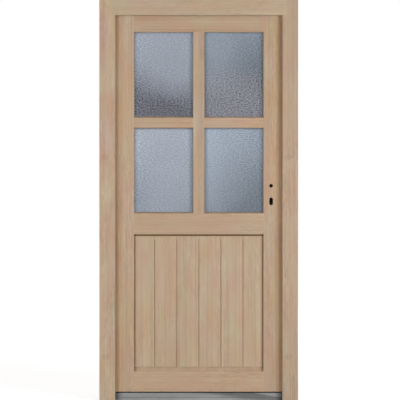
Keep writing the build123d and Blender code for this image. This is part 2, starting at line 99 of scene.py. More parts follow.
class Graph:
    """Adds shader nodes to one tree and joins them."""

    def __init__(self, tree: bpy.types.NodeTree) -> None:
        """Keep the tree that the nodes go into."""
        self.tree = tree

    def node(self, kind: str, **settings: object) -> bpy.types.Node:
        """Add a node.

        Args:
            kind: Blender's name for the node type.
            settings: attributes to set on it.

        Returns:
            The new node.
        """
        made = self.tree.nodes.new(kind)
        for name, value in settings.items():
            setattr(made, name, value)
        return made

    def feed(self, socket: Socket, source: Source) -> None:
        """Join a source to an input, or set the input's own value.

        Args:
            socket: the input.
            source: an output socket, a number, or a tuple of numbers.
        """
        if isinstance(source, bpy.types.NodeSocket):
            self.tree.links.new(source, socket)
        elif socket.type == "RGBA" and len(source) == 3:
            socket.default_value = (*source, 1.0)
        else:
            socket.default_value = source

    def math(self, operation: str, a: Source, b: Source = 0.0, clamp: bool = False) -> Socket:
        """One step of arithmetic.

        Args:
            operation: Blender's name for it, such as MULTIPLY.
            a: the first value.
            b: the second value, where there is one.
            clamp: keep the result between 0 and 1.

        Returns:
            The result.
        """
        made = self.node("ShaderNodeMath", operation=operation, use_clamp=clamp)
        self.feed(made.inputs[0], a)
        self.feed(made.inputs[1], b)
        return made.outputs[0]

    def chain(self, operation: str, parts: tuple[Source, ...]) -> Source:
        """One operation from part to part.

        Args:
            operation: Blender's name for it.
            parts: the values in order.

        Returns:
            The result, or the value itself where there is only one.
        """
        result = parts[0]
        for part in parts[1:]:
            result = self.math(operation, result, part)
        return result

    def add(self, *parts: Source) -> Source:
        """The sum of the values."""
        return self.chain("ADD", parts)

    def less(self, a: Source, b: Source) -> Socket:
        """The first value less the second."""
        return self.math("SUBTRACT", a, b)

    def times(self, *parts: Source) -> Source:
        """The product of the values."""
        return self.chain("MULTIPLY", parts)

    def largest(self, *parts: Source) -> Source:
        """The largest of the values."""
        return self.chain("MAXIMUM", parts)

    def total(self, *terms: Source | tuple[Source, ...]) -> Source:
        """The sum of terms, where a tuple stands for the product of its parts."""
        return self.add(*(self.times(*term) if isinstance(term, tuple) else term for term in terms))

    def line(self, value: Source, start: float, slope: float) -> Source:
        """A straight line: the start, plus the slope times the value."""
        return self.total(start, (value, slope))

    def vector(self, operation: str, a: Source, b: Source = (0.0, 0.0, 0.0)) -> Socket:
        """One step of vector arithmetic.

        Args:
            operation: Blender's name for it, such as ADD.
            a: the first vector.
            b: the second vector, where there is one.

        Returns:
            The vector, or the number where the operation gives one.
        """
        made = self.node("ShaderNodeVectorMath", operation=operation)
        self.feed(made.inputs[0], a)
        self.feed(made.inputs[1], b)
        return made.outputs["Value" if operation in ("DOT_PRODUCT", "LENGTH") else "Vector"]

    def scaled(self, colour: Source, factor: Source) -> Socket:
        """A colour or vector times a number."""
        return self.vector("MULTIPLY", colour, self.join(factor, factor, factor))

    def noise(self, place: Source, scale: Source, detail: float) -> Socket:
        """Smooth noise between 0 and 1, with a scale of its own along each axis.

        Args:
            place: where it is read.
            scale: features per unit of place along each axis.
            detail: finer layers on top of the first.

        Returns:
            The noise.
        """
        made = self.node("ShaderNodeTexNoise")
        self.feed(made.inputs["Vector"], self.vector("MULTIPLY", place, scale))
        made.inputs["Scale"].default_value = 1.0
        made.inputs["Detail"].default_value = detail
        return made.outputs[0]

    def step(self, value: Source, low: float, high: float) -> Socket:
        """A smooth step from 0 at low to 1 at high, or down if low is the larger.

        Args:
            value: what is tested.
            low: where the step is 0.
            high: where it is 1.

        Returns:
            The step.
        """
        falling = low > high
        made = self.node("ShaderNodeMapRange", interpolation_type="SMOOTHSTEP")
        self.feed(made.inputs["Value"], value)
        made.inputs["From Min"].default_value = min(low, high)
        made.inputs["From Max"].default_value = max(low, high)
        made.inputs["To Min"].default_value = float(falling)
        made.inputs["To Max"].default_value = float(not falling)
        return made.outputs["Result"]

    def mix(self, kind: Mix, *sources: Source) -> Socket:
        """Blend two colours or two numbers.

        Args:
            kind: what is blended.
            sources: how much of the second part, the first part and the second.

        Returns:
            The blend.
        """
        data_type, places, output = kind.value
        made = self.node("ShaderNodeMix", data_type=data_type)
        for place, source in zip(places, sources):
            self.feed(made.inputs[place], source)
        return made.outputs[output]

    def blend(self, factor: Source, a: Source, b: Source) -> Socket:
        """Two colours, blended by how much of the second there is."""
        return self.mix(Mix.COLOURS, factor, a, b)

    def between(self, factor: Source, a: Source, b: Source) -> Socket:
        """Two numbers, blended by how much of the second there is."""
        return self.mix(Mix.NUMBERS, factor, a, b)

    def split(self, place: Source) -> tuple[Socket, Socket, Socket]:
        """Take a vector apart.

        Args:
            place: the vector.

        Returns:
            Its three parts.
        """
        made = self.node("ShaderNodeSeparateXYZ")
        self.feed(made.inputs[0], place)
        return made.outputs[0], made.outputs[1], made.outputs[2]

    def join(self, *parts: Source) -> Socket:
        """Make a vector.

        Args:
            parts: its three parts.

        Returns:
            The vector.
        """
        made = self.node("ShaderNodeCombineXYZ")
        for socket, part in zip(made.inputs, parts):
            self.feed(socket, part)
        return made.outputs[0]

    def chance(self, number: Source) -> Socket:
        """A random value that belongs to a number.

        Args:
            number: the number.

        Returns:
            The value, between -0.5 and 0.5.
        """
        made = self.node("ShaderNodeTexWhiteNoise", noise_dimensions="1D")
        self.feed(made.inputs["W"], number)
        return self.less(made.outputs["Value"], 0.5)

    def object_place(self) -> Socket:
        """The shaded point in the piece's own coordinates."""
        return self.node("ShaderNodeTexCoord").outputs["Object"]

    def within(self, box: Box, soft: Triple) -> Socket:
        """A mask of the points inside a box.

        Args:
            box: its lowest and its highest corner.
            soft: width of the mask's edge along each axis.

        Returns:
            The mask.
        """
        centre = tuple((low + high) / 2 for low, high in zip(*box))
        half = tuple((high - low) / 2 for low, high in zip(*box))
        away = self.vector("ABSOLUTE", self.vector("SUBTRACT", self.object_place(), centre))
        past = self.vector("DIVIDE", self.vector("SUBTRACT", away, half), soft)
        return self.step(self.largest(*self.split(past)), 1.0, 0.0)

    def group(self, tree: bpy.types.NodeTree, **values: Source) -> bpy.types.NodeOutputs:
        """Place a node group.

        Args:
            tree: the group.
            values: its inputs by name.

        Returns:
            The group's outputs.
        """
        made = self.node("ShaderNodeGroup", node_tree=tree)
        for name, value in values.items():
            self.feed(made.inputs[name], value)
        return made.outputs


class GroupGraph(Graph):
    """The graph of a new node group, with its sockets."""

    def __init__(self, name: str, inputs: dict[str, Kind], outputs: dict[str, Kind]) -> None:
        """Open the group.

        Args:
            name: the group's name.
            inputs: what each input carries.
            outputs: what each output carries.
        """
        super().__init__(bpy.data.node_groups.new(name, "ShaderNodeTree"))
        for in_out, sockets in (("INPUT", inputs), ("OUTPUT", outputs)):
            for label, kind in sockets.items():
                self.tree.interface.new_socket(name=label, in_out=in_out, socket_type=kind.value)
        self.given = self.node("NodeGroupInput").outputs
        self._out = self.node("NodeGroupOutput").inputs

    def put(self, label: str, source: Socket) -> None:
        """Send a result to one of the outputs."""
        self.feed(self._out[label], source)


@dataclass(frozen=True)
class Streaks:
    """Noise about zero that is drawn out along the fibres."""

    scale: Triple  # across, through and along the piece
    share: float = 1.0
    detail: float = 1.0

    def read(self, g: Graph, place: Socket) -> Socket:
        """The noise at a place, times its share."""
        return g.times(g.less(g.noise(place, self.scale, self.detail), 0.5), self.share)


@dataclass(frozen=True)
class Fibres:
    """Where a point lies in a piece of timber."""

    across: Socket
    through: Socket
    along: Socket
    place: Socket  # all three, moved by the piece's own number


@dataclass(frozen=True)
class SoftwoodFigure:
    """Sawn and sanded softwood, solid right through.

    Growth rings are cylinders about a heart line that lies behind the piece and leans a little to
    its length, and slow noise makes that line wander. The lines of late wood show in some zones and
    fade in others. Knots push the rings aside. Fine drawn-out noise makes the fibres, longer streaks
    shift the tone, and two slow fields shift the hue towards pink and towards yellow. Glued layers
    and the boards of a panel differ a little.
    """

    seed_shift: Triple = (0.371, 0.0, 0.911)
    ring: float = 0.0036
    late_rise: Pair = (0.30, 0.88)  # where the late wood starts and is full, in shares of a ring
    late_fall: Pair = (1.0, 0.92)  # where it has ended, and where it starts to end
    late_share: float = 0.11
    late_middle: float = 0.35  # the late wood that leaves the tone as it is
    late_height: float = 0.5
    heart_depth: float = 0.17
    heart_aside: float = 0.07
    heart_scatter: float = 0.05
    heart_turn: float = 2.3  # the scatter's angle for each unit of the seed
    lean: float = 0.006
    wander: Streaks = Streaks((5.0, 5.0, 0.8), 0.030, 2.0)
    zone: Streaks = Streaks((9.0, 9.0, 1.6))
    zone_edge: Pair = (-0.10, 0.09)
    zone_least: float = 0.25
    fibre: Streaks = Streaks((1100.0, 1100.0, 30.0), detail=2.0)
    fibre_share: float = 0.13
    roughness: float = 0.58
    fibre_roughness: float = 0.20
    short: Streaks = Streaks((230.0, 230.0, 28.0), 0.40)
    middle: Streaks = Streaks((190.0, 190.0, 8.0), 0.36)
    long: Streaks = Streaks((170.0, 170.0, 0.9), 0.36)
    broad: Streaks = Streaks((26.0, 26.0, 1.0), 0.24)
    pink: Streaks = Streaks((19.0, 19.0, 6.0), 0.34)
    yellow: Streaks = Streaks((13.0, 31.0, 4.3), 0.34)
    layer: float = 0.0227  # thickness of a glued layer
    layer_start: float = 0.5  # where the layers are counted from, outside the door
    layer_share: float = 0.04
    board_least: float = 0.001  # a lesser width means no boards
    board_draw: float = 31.5
    board_share: float = 0.055
    knot_half: float = 0.011  # half a knot's height
    knot_flatness: float = 0.62  # a knot's height over its width
    knot_rim: Pair = (1.25, 0.95)  # where a knot ends and is full, in halves of its height
    knot_core: Pair = (0.3, 0.9)  # where its paler core starts to end and has ended
    knot_core_tone: float = 0.45
    knot_heart: float = 0.4  # where the rings are pushed most
    knot_reach: float = 0.070
    knot_push: float = 0.012
    knot_light: float = -0.09
    knot_pink: float = -0.05

    def _fibres(self, g: Graph, level: Socket, seed: Socket) -> Fibres:
        """Turn the shaded point to the way the fibres run.

        Args:
            g: the group's graph.
            level: 1 where they run along X, 0 where they run along Z.
            seed: the piece's own number.

        Returns:
            The point's place in the timber.
        """
        x, y, z = g.split(g.object_place())
        along = g.between(level, z, x)
        across = g.between(level, x, z)
        shift = g.vector("MULTIPLY", g.join(seed, 0.0, seed), self.seed_shift)
        return Fibres(across, y, along, g.vector("ADD", g.join(across, y, along), shift))

    def _knots(self, g: Graph, at: Fibres, knots: Socket) -> tuple[Socket, Socket]:
        """Two flat oval knots, one over the other.

        Args:
            g: the group's graph.
            at: the point's place in the timber.
            knots: the knots' place across the piece, and their two places along it.

        Returns:
            A mask that is strongest at the rim, and how far the rings are pushed aside.
        """
        column, *heights = g.split(knots)
        aside = g.times(g.less(at.across, column), self.knot_flatness)
        away = [g.vector("LENGTH", g.join(aside, g.less(at.along, height), 0.0)) for height in heights]
        halves = g.math("DIVIDE", g.math("MINIMUM", *away), self.knot_half)
        core = g.between(g.step(halves, *self.knot_core), self.knot_core_tone, 1.0)
        push = g.step(halves, self.knot_reach / self.knot_half, self.knot_heart)
        return g.times(g.step(halves, *self.knot_rim), core), g.times(push, self.knot_push)

    def _late_wood(self, g: Graph, at: Fibres, bend: Socket, seed: Socket) -> Socket:
        """The dark part of each growth ring: a slow rise and a quick fall away from the heart.

        Args:
            g: the group's graph.
            at: the point's place in the timber.
            bend: how far a knot pushes the rings.
            seed: the piece's own number.

        Returns:
            The mask.
        """
        turn = g.math("SINE", g.times(seed, self.heart_turn))
        heart = g.line(turn, self.heart_aside, self.heart_scatter)
        sway = self.wander.read(g, at.place)
        aside = g.total(at.across, heart, (at.along, self.lean), bend, sway)
        radius = g.vector("LENGTH", g.join(aside, g.add(at.through, self.heart_depth), 0.0))
        ring = g.math("FRACT", g.math("DIVIDE", radius, self.ring))
        return g.times(g.step(ring, *self.late_rise), g.step(ring, *self.late_fall))

    def _layers(self, g: Graph, at: Fibres, seed: Socket) -> Socket:
        """A random value for each glued layer."""
        depth = g.math("DIVIDE", g.add(at.through, self.layer_start), self.layer)
        return g.chance(g.add(g.math("FLOOR", depth), seed))

    def _boards(self, g: Graph, width: Socket) -> Socket:
        """A random value for each board of a panel, and 0 where there are no boards.

        Args:
            g: the group's graph.
            width: the boards' width.

        Returns:
            The value.
        """
        x = g.split(g.object_place())[0]
        board = g.math("FLOOR", g.math("DIVIDE", x, g.largest(width, self.board_least)))
        has_boards = g.math("GREATER_THAN", width, self.board_least)
        return g.times(g.chance(g.add(board, self.board_draw)), has_boards)

    def build(self) -> bpy.types.NodeTree:
        """Build the group.

        Returns:
            The group.
        """
        g = GroupGraph(
            "Softwood figure",
            inputs={
                "Level": Kind.NUMBER,
                "Seed": Kind.NUMBER,
                "Tint": Kind.COLOUR,
                "Contrast": Kind.NUMBER,
                "Hue": Kind.NUMBER,
                "Run": Kind.NUMBER,
                "Board": Kind.NUMBER,
                "Knots": Kind.VECTOR,
            },
            outputs={"Colour": Kind.COLOUR, "Height": Kind.NUMBER, "Roughness": Kind.NUMBER},
        )
        seed, hue = g.given["Seed"], g.given["Hue"]
        at = self._fibres(g, g.given["Level"], seed)
        knot, bend = self._knots(g, at, g.given["Knots"])
        late = self._late_wood(g, at, bend, seed)
        zone = g.between(g.step(self.zone.read(g, at.place), *self.zone_edge), self.zone_least, 1.0)
        fibre = self.fibre.read(g, at.place)
        light = g.total(
            (g.less(self.late_middle, late), zone, self.late_share),
            (fibre, self.fibre_share),
            (self.short.read(g, at.place), zone),
            (self.middle.read(g, at.place), zone),
            (self.long.read(g, at.place), g.given["Run"]),
            self.broad.read(g, at.place),
            (self._layers(g, at, seed), self.layer_share),
        )
        light = g.total((light, g.given["Contrast"]), (knot, self.knot_light), 1.0)
        boards = self._boards(g, g.given["Board"])
        pink = g.total(
            (self.pink.read(g, at.place), hue), (boards, self.board_share), (knot, self.knot_pink)
        )
        yellow = g.times(self.yellow.read(g, at.place), hue)
        cast = g.join(1.0, g.add(1.0, pink), g.add(1.0, pink, yellow))
        g.put("Colour", g.vector("MULTIPLY", g.scaled(g.given["Tint"], light), cast))
        g.put("Height", g.total((late, zone, self.late_height), fibre))
        g.put("Roughness", g.line(fibre, self.roughness, self.fibre_roughness))
        return g.tree


@dataclass(frozen=True)
class WornEdge:
    """A mask of the edges: where the normal of a rounded copy leaves the true one, broken by noise."""

    samples: int = 4
    grit: Triple = (60.0, 60.0, 60.0)
    detail: float = 3.0
    parting: Pair = (0.02, 0.25)  # how far the normals part where wear starts and is full
    broken: Pair = (0.30, 0.62)

    def build(self) -> bpy.types.NodeTree:
        """Build the group.

        Returns:
            The group.
        """
        number = Kind.NUMBER
        g = GroupGraph("Worn edge", {"Reach": number, "Amount": number}, {"Mask": number})
        rounded = g.node("ShaderNodeBevel", samples=self.samples)
        g.feed(rounded.inputs["Radius"], g.given["Reach"])
        true = g.node("ShaderNodeNewGeometry").outputs["Normal"]
        apart = g.less(1.0, g.vector("DOT_PRODUCT", rounded.outputs[0], true))
        grit = g.noise(g.object_place(), self.grit, self.detail)
        mask = g.times(g.step(apart, *self.parting), g.step(grit, *self.broken))
        g.put("Mask", g.math("MULTIPLY", mask, g.given["Amount"], clamp=True))
        return g.tree


@dataclass(frozen=True)
class UpwardFaces:
    """A mask of faces that look up, broken by noise: fine dust on metal and sealant, painted shade on
    timber.
    """

    patches: Triple = (45.0, 45.0, 45.0)
    detail: float = 4.0
    upward: Pair = (0.10, 0.70)  # the normal's Z where the mask starts and is full
    broken: Pair = (0.20, 0.65)

    def build(self) -> bpy.types.NodeTree:
        """Build the group.

        Returns:
            The group.
        """
        g = GroupGraph("Upward faces", {"Amount": Kind.NUMBER}, {"Mask": Kind.NUMBER})
        upward = g.split(g.node("ShaderNodeNewGeometry").outputs["Normal"])[2]
        patch = g.noise(g.object_place(), self.patches, self.detail)
        mask = g.times(g.step(upward, *self.upward), g.step(patch, *self.broken))
        g.put("Mask", g.math("MULTIPLY", mask, g.given["Amount"], clamp=True))
        return g.tree


@dataclass(frozen=True)
class Mottle:
    """Two sizes of noise, for grain in glass, brush lines, handling marks and blooms."""

    detail: float = 3.0

    def build(self) -> bpy.types.NodeTree:
        """Build the group.

        Returns:
            The group.
        """
        g = GroupGraph(
            "Mottle",
            inputs={"Stretch": Kind.VECTOR, "Broad": Kind.VECTOR},
            outputs={"Fine": Kind.NUMBER, "Coarse": Kind.NUMBER},
        )
        for label, scale in (("Fine", "Stretch"), ("Coarse", "Broad")):
            g.put(label, g.noise(g.object_place(), g.given[scale], self.detail))
        return g.tree


class Effects:
    """The shader node groups that several materials share, each built once."""

    def __init__(self) -> None:
        """Build every group."""
        self.softwood = SoftwoodFigure().build()
        self.worn_edge = WornEdge().build()
        self.dust_and_shade = UpwardFaces().build()
        self.mottle = Mottle().build()


class MaterialGraph(Graph):
    """The graph of a new material, with the inputs of its shader and the shared groups at hand."""

    def __init__(self, name: str, effects: Effects | None = None) -> None:
        """Start the material.

        Args:
            name: its name.
            effects: the shared groups, where it uses them.
        """
        self.material = bpy.data.materials.new(name)
        self.material.use_nodes = True
        super().__init__(self.material.node_tree)
        self.effects = effects
        self._inputs = self.tree.nodes["Principled BSDF"].inputs

    def put(self, label: str, source: Source) -> None:
        """Feed one of the shader's inputs, or set its own value."""
        self.feed(self._inputs[label], source)

    def worn_edge(self, reach: float, amount: float) -> Socket:
        """The mask of worn edges."""
        return self.group(self.effects.worn_edge, Reach=reach, Amount=amount)["Mask"]

    def dust_and_shade(self, amount: float) -> Socket:
        """The mask of faces that look up, for dust and for painted shade."""
        return self.group(self.effects.dust_and_shade, Amount=amount)["Mask"]

    def mottle(self, stretch: Triple, broad: Triple) -> tuple[Socket, Socket]:
        """Fine and coarse noise of two given scales."""
        made = self.group(self.effects.mottle, Stretch=stretch, Broad=broad)
        return made["Fine"], made["Coarse"]

    def bump(self, height: Socket, distance: float, strength: float) -> None:
        """Let a height tilt the shader's normal.

        Args:
            height: the height, about 0 to 1.
            distance: what a height of 1 stands for.
            strength: how much of the tilt is kept.
        """
        bump = self.node("ShaderNodeBump")
        bump.inputs["Distance"].default_value = distance
        bump.inputs["Strength"].default_value = strength
        self.feed(bump.inputs["Height"], height)
        self.put("Normal", bump.outputs["Normal"])


class Finish(ABC):
    """What one kind of surface looks like."""

    label: ClassVar[str]

    def material(self, name: str, effects: Effects) -> bpy.types.Material:
        """Make the finish.

        Args:
            name: the piece or pieces that it is for.
            effects: the shared groups.

        Returns:
            The material.
        """
        g = MaterialGraph(f"{self.label} {name}", effects)
        self._fill(g)
        return g.material

    @abstractmethod
    def _fill(self, g: MaterialGraph) -> None:
        """Give the shader its colours and values.

        Args:
            g: the material's graph.
        """


@dataclass(frozen=True)
class Patch:
    """A part of a timber darkened by painted shade or made paler by a painted highlight, in or round a
    box.
    """

    box: Box
    soft: Triple  # width of its edge along each axis
    tone: Colour  # what is left of each channel
    outside: bool = False

    def over(self, g: Graph, colour: Socket) -> Socket:
        """Lay the patch over a colour.

        Args:
            g: the material's graph.
            colour: the colour of the bare timber.

        Returns:
            The colour with the patch on it.
        """
        mask = g.within(self.box, self.soft)
        if self.outside:
            mask = g.less(1.0, mask)
        return g.blend(mask, colour, g.vector("MULTIPLY", colour, self.tone))


@dataclass(frozen=True)
class Softwood(Finish):
    """Raw sanded softwood of one piece.

    Patches of painted shade and painted highlight may lie on it, the joints of its boards are darker,
    and a pocket may be painted near-black as shade.
    """

    label: ClassVar[str] = "softwood"

    tint: Colour
    grain: Grain
    seed: float
    contrast: float = 1.0
    hue: float = 1.0  # how much the hue varies
    run: float = 1.0  # how strong the long streaks are
    knots: Triple = (FAR, FAR, FAR)
    board: float = 0.0  # width of a board, if there are boards
    patches: tuple[Patch, ...] = ()
    # darker along the grooves between the boards
    joint_darkening: Colour = (0.84, 0.78, 0.70)
    joint_edge: Pair = (0.0026, 0.00104)  # where the darkening of a joint ends and is full
    # a pocket painted near-black: painted shade where the lock's holes are deep
    pocket: Box | None = None
    pocket_edge: float = 0.0005
    pocket_shade: Colour = (0.010, 0.006, 0.004)
    # pale arrises: wear, and a painted highlight along the edges
    edge: Colour = (0.60, 0.47, 0.35)
    edge_reach: float = 0.0022
    edge_wear_and_highlight: float = 0.30
    # on faces that look up: dark brown painted shade, on sills and tops
    dust_and_shade_colour: Colour = (0.27, 0.195, 0.13)
    dust_and_shade: float = 0.80
    specular: float = 0.28
    bump: Pair = (0.00012, 0.55)  # height and strength

    def _painted_light_and_joints(self, g: Graph, colour: Socket) -> Socket:
        """Lay the patches of painted shade and highlight, the darker joints and the pocket's painted shade
        over the timber.

        Args:
            g: the material's graph.
            colour: the colour of the bare timber.

        Returns:
            The colour with all of them on it.
        """
        for patch in self.patches:
            colour = patch.over(g, colour)
        if self.board:
            beside = g.math("PINGPONG", g.split(g.object_place())[0], self.board / 2)
            joint = g.step(beside, *self.joint_edge)
            colour = g.blend(joint, colour, g.vector("MULTIPLY", colour, self.joint_darkening))
        if self.pocket:
            soft = (self.pocket_edge, self.pocket_edge, self.pocket_edge)
            colour = g.blend(g.within(self.pocket, soft), colour, self.pocket_shade)
        return colour

    def _fill(self, g: MaterialGraph) -> None:
        """Give the shader its colours and values.

        Args:
            g: the material's graph.
        """
        figure = g.group(
            g.effects.softwood,
            Level=self.grain.value,
            Seed=self.seed,
            Tint=self.tint,
            Contrast=self.contrast,
            Hue=self.hue,
            Run=self.run,
            Board=self.board,
            Knots=self.knots,
        )
        colour = g.blend(g.worn_edge(self.edge_reach, self.edge_wear_and_highlight), figure["Colour"], self.edge)
        colour = g.blend(g.dust_and_shade(self.dust_and_shade), colour, self.dust_and_shade_colour)
        g.put("Base Color", self._painted_light_and_joints(g, colour))
        g.put("Roughness", figure["Roughness"])
        g.put("Specular IOR Level", self.specular)
        g.bump(figure["Height"], *self.bump)


@dataclass(frozen=True)
class PanePlace:
    """Where a point lies among the panes."""

    x: Socket
    z: Socket
    sink: Socket  # 0 at the head of its row, 1 at the foot
    upper: Socket  # 1 in the upper row
    lock_side: Socket  # 1 in the two panes next to the lock
    rightward: Socket  # rises to 1 towards the lock stile
    leftward: Socket  # rises to 1 towards the hinge stile
    drift: Socket  # slow noise about zero


@dataclass(frozen=True)
class ObscureGlass(Finish):
    """Fine-grained obscure glass, milky, with blurred tones of its surroundings painted into its colour.

    This painted reflection sinks from pale to cool down each row of panes and towards the lock side,
    the upper row starts cooler, a dark bank of it stands on the cross bars, and painted shade of the
    bars lies next to them.
    """

    label: ClassVar[str] = "obscure glass"

    row_foot: float  # where the lower row starts, half the gap between the rows under its panes
    row_pitch: float
    # painted reflection of the surroundings: the tones below, from pale and sky to cool, with a dark bank
    # and its glow
    bar_half: float  # half the width of a bar
    pale: Colour = (0.477, 0.522, 0.600)  # the clearest tone on the hinge side
    sky: Colour = (0.456, 0.523, 0.612)  # and on the lock side
    cool: Colour = (0.186, 0.219, 0.264)  # what both sink to
    dusk: Colour = (0.140, 0.140, 0.176)  # the bank on the hinge side
    haze: Colour = (0.258, 0.262, 0.305)  # the bank's foot on the lock side
    glow: Colour = (0.335, 0.345, 0.395)  # its top, towards the upright bar
    gloom: Colour = (0.225, 0.232, 0.262)  # its top, towards the stile
    roughness: float = 0.28
    ior: float = 1.5
    clearness: float = 0.5
    row_blur: float = 0.01
    side_blur: float = 0.012
    right_reach: Pair = (0.03, 0.33)
    left_reach: Pair = (-0.22, -0.31)
    upper_chill: Pair = (0.20, 0.14)  # in the upper row, and what its lock side adds
    foot_chill: float = 0.44
    lock_chill: Pair = (-0.02, 0.22)  # at the head of a row, and what its foot adds
    right_chill: Pair = (0.30, 0.30)
    left_chill: Pair = (-0.13, 0.30)
    drift_chill: float = 0.35
    bank_crest: float = 1.43
    bank_fade: float = 1.615
    bank_fall: Pair = (0.045, 0.30)  # how far it lies lower at X = 0, and how that grows with X
    bank_lift: float = 0.08  # how far it stands higher on the lock side
    bank_drift: float = 0.25
    bank_weight: Pair = (0.95, -0.14)  # its strength, and what the hinge stile adds
    glow_top: float = 1.60
    glow_foot: float = 1.47
    # painted shade beside the upright bar and under the cross bars
    beside_bar: float = 0.024
    beside_shade: float = -0.24
    under_bar: Pair = (0.012, 0.004)
    under_shade: float = -0.32
    stretch: Triple = (120.0, 120.0, 195.0)
    broad: Triple = (6.0, 6.0, 6.0)
    grain_edge: Pair = (0.28, 0.72)
    grain_depth: float = 0.58
    bank_grain: Pair = (1.45, -0.58)  # what the bank adds to the depth, and what its lock side adds
    side_grain: float = 0.45
    bump: Pair = (0.0008, 0.6)  # height and strength

    def _place(self, g: Graph, drift: Socket) -> PanePlace:
        """Find where the shaded point lies.

        Args:
            g: the material's graph.
            drift: slow noise about zero.

        Returns:
            Its place among the panes.
        """
        x, _, z = g.split(g.object_place())
        rise = g.math("FRACT", g.math("DIVIDE", g.add(z, -self.row_foot), self.row_pitch))
        parting = self.row_foot + self.row_pitch
        return PanePlace(
            x=x,
            z=z,
            sink=g.less(1.0, rise),
            upper=g.step(z, parting - self.row_blur, parting + self.row_blur),
            lock_side=g.step(x, -self.side_blur, self.side_blur),
            rightward=g.step(x, *self.right_reach),
            leftward=g.step(x, *self.left_reach),
            drift=drift,
        )

    def _chill(self, g: Graph, at: PanePlace) -> Socket:
        """How far the painted reflection has sunk from pale to cool.

        Args:
            g: the material's graph.
            at: the point's place.

        Returns:
            A value between 0 and 1.
        """
        chill = g.total(
            (at.upper, g.line(at.lock_side, *self.upper_chill)),
            (at.sink, self.foot_chill),
            (at.lock_side, g.line(at.sink, *self.lock_chill)),
            (at.rightward, g.line(at.sink, *self.right_chill)),
            (at.leftward, g.line(at.sink, *self.left_chill)),
            (at.drift, self.drift_chill),
        )
        return g.math("ADD", chill, 0.0, clamp=True)

    def _bank(self, g: Graph, at: PanePlace) -> Socket:
        """The mask of the bank of dusk, a dark painted reflection, which slopes on the hinge side and is
        level on the lock side.

        Args:
            g: the material's graph.
            at: the point's place.

        Returns:
            The mask.
        """
        slope = g.between(at.lock_side, g.line(at.x, *self.bank_fall), -self.bank_lift)
        height = g.total(at.z, (at.drift, self.bank_drift), slope)
        bank = g.step(height, self.bank_fade, self.bank_crest)
        return g.times(bank, at.upper, g.line(at.leftward, *self.bank_weight))

    def _bar_light(self, g: Graph, at: PanePlace) -> Socket:
        """What the bars' shade leaves of the tone, beside the upright bar and under the cross bars.

        Args:
            g: the material's graph.
            at: the point's place.

        Returns:
            The factor.
        """
        beside = g.step(g.add(g.math("ABSOLUTE", at.x), -self.bar_half), self.beside_bar, 0.0)
        under = g.step(g.total((at.sink, self.row_pitch), -self.bar_half), *self.under_bar)
        under = g.times(under, g.less(1.0, at.upper))
        return g.total(1.0, (beside, self.beside_shade), (under, self.under_shade))

    def _tone(self, g: Graph, at: PanePlace, bank: Socket) -> Socket:
        """The slow tones of the panes: painted reflection and painted shade.

        Args:
            g: the material's graph.
            at: the point's place.
            bank: the mask of the bank.

        Returns:
            The colour.
        """
        clear = g.blend(at.lock_side, self.pale, self.sky)
        mist = g.blend(at.rightward, self.glow, self.gloom)
        mist = g.blend(g.step(at.z, self.glow_top, self.glow_foot), mist, self.haze)
        tone = g.blend(self._chill(g, at), clear, self.cool)
        tone = g.blend(bank, tone, g.blend(at.lock_side, self.dusk, mist))
        return g.scaled(tone, self._bar_light(g, at))

    def _fill(self, g: MaterialGraph) -> None:
        """Give the shader its colours and values.

        Args:
            g: the material's graph.
        """
        fine, coarse = g.mottle(self.stretch, self.broad)
        at = self._place(g, g.less(coarse, 0.5))
        bank = self._bank(g, at)
        grain = g.less(g.step(fine, *self.grain_edge), 0.5)
        depth = g.total(
            self.grain_depth,
            (bank, g.line(at.lock_side, *self.bank_grain)),
            (g.add(at.leftward, at.rightward), self.side_grain),
        )
        tone = self._tone(g, at, bank)
        g.put("Base Color", g.scaled(tone, g.total(1.0, (grain, depth))))
        g.put("Roughness", self.roughness)
        g.put("IOR", self.ior)
        g.put("Transmission Weight", self.clearness)
        g.bump(fine, *self.bump)


@dataclass(frozen=True)
class ClearGlass(Finish):
    """Clear float glass with a faint green cast and a few smears."""

    label: ClassVar[str] = "clear glass"

    colour: Colour = (0.93, 0.96, 0.95)
    roughness: float = 0.01
    ior: float = 1.5
    stretch: Triple = (40.0, 40.0, 40.0)
    broad: Triple = (5.0, 5.0, 5.0)
    smear_edge: Pair = (0.5, 0.8)
    smear: float = 0.06

    def _fill(self, g: MaterialGraph) -> None:
        """Give the shader its colours and values.

        Args:
            g: the material's graph.
        """
        _, coarse = g.mottle(self.stretch, self.broad)
        smear = g.step(coarse, *self.smear_edge)
        g.put("Base Color", self.colour)
        g.put("Roughness", g.line(smear, self.roughness, self.smear))
        g.put("IOR", self.ior)
        g.put("Transmission Weight", 1.0)


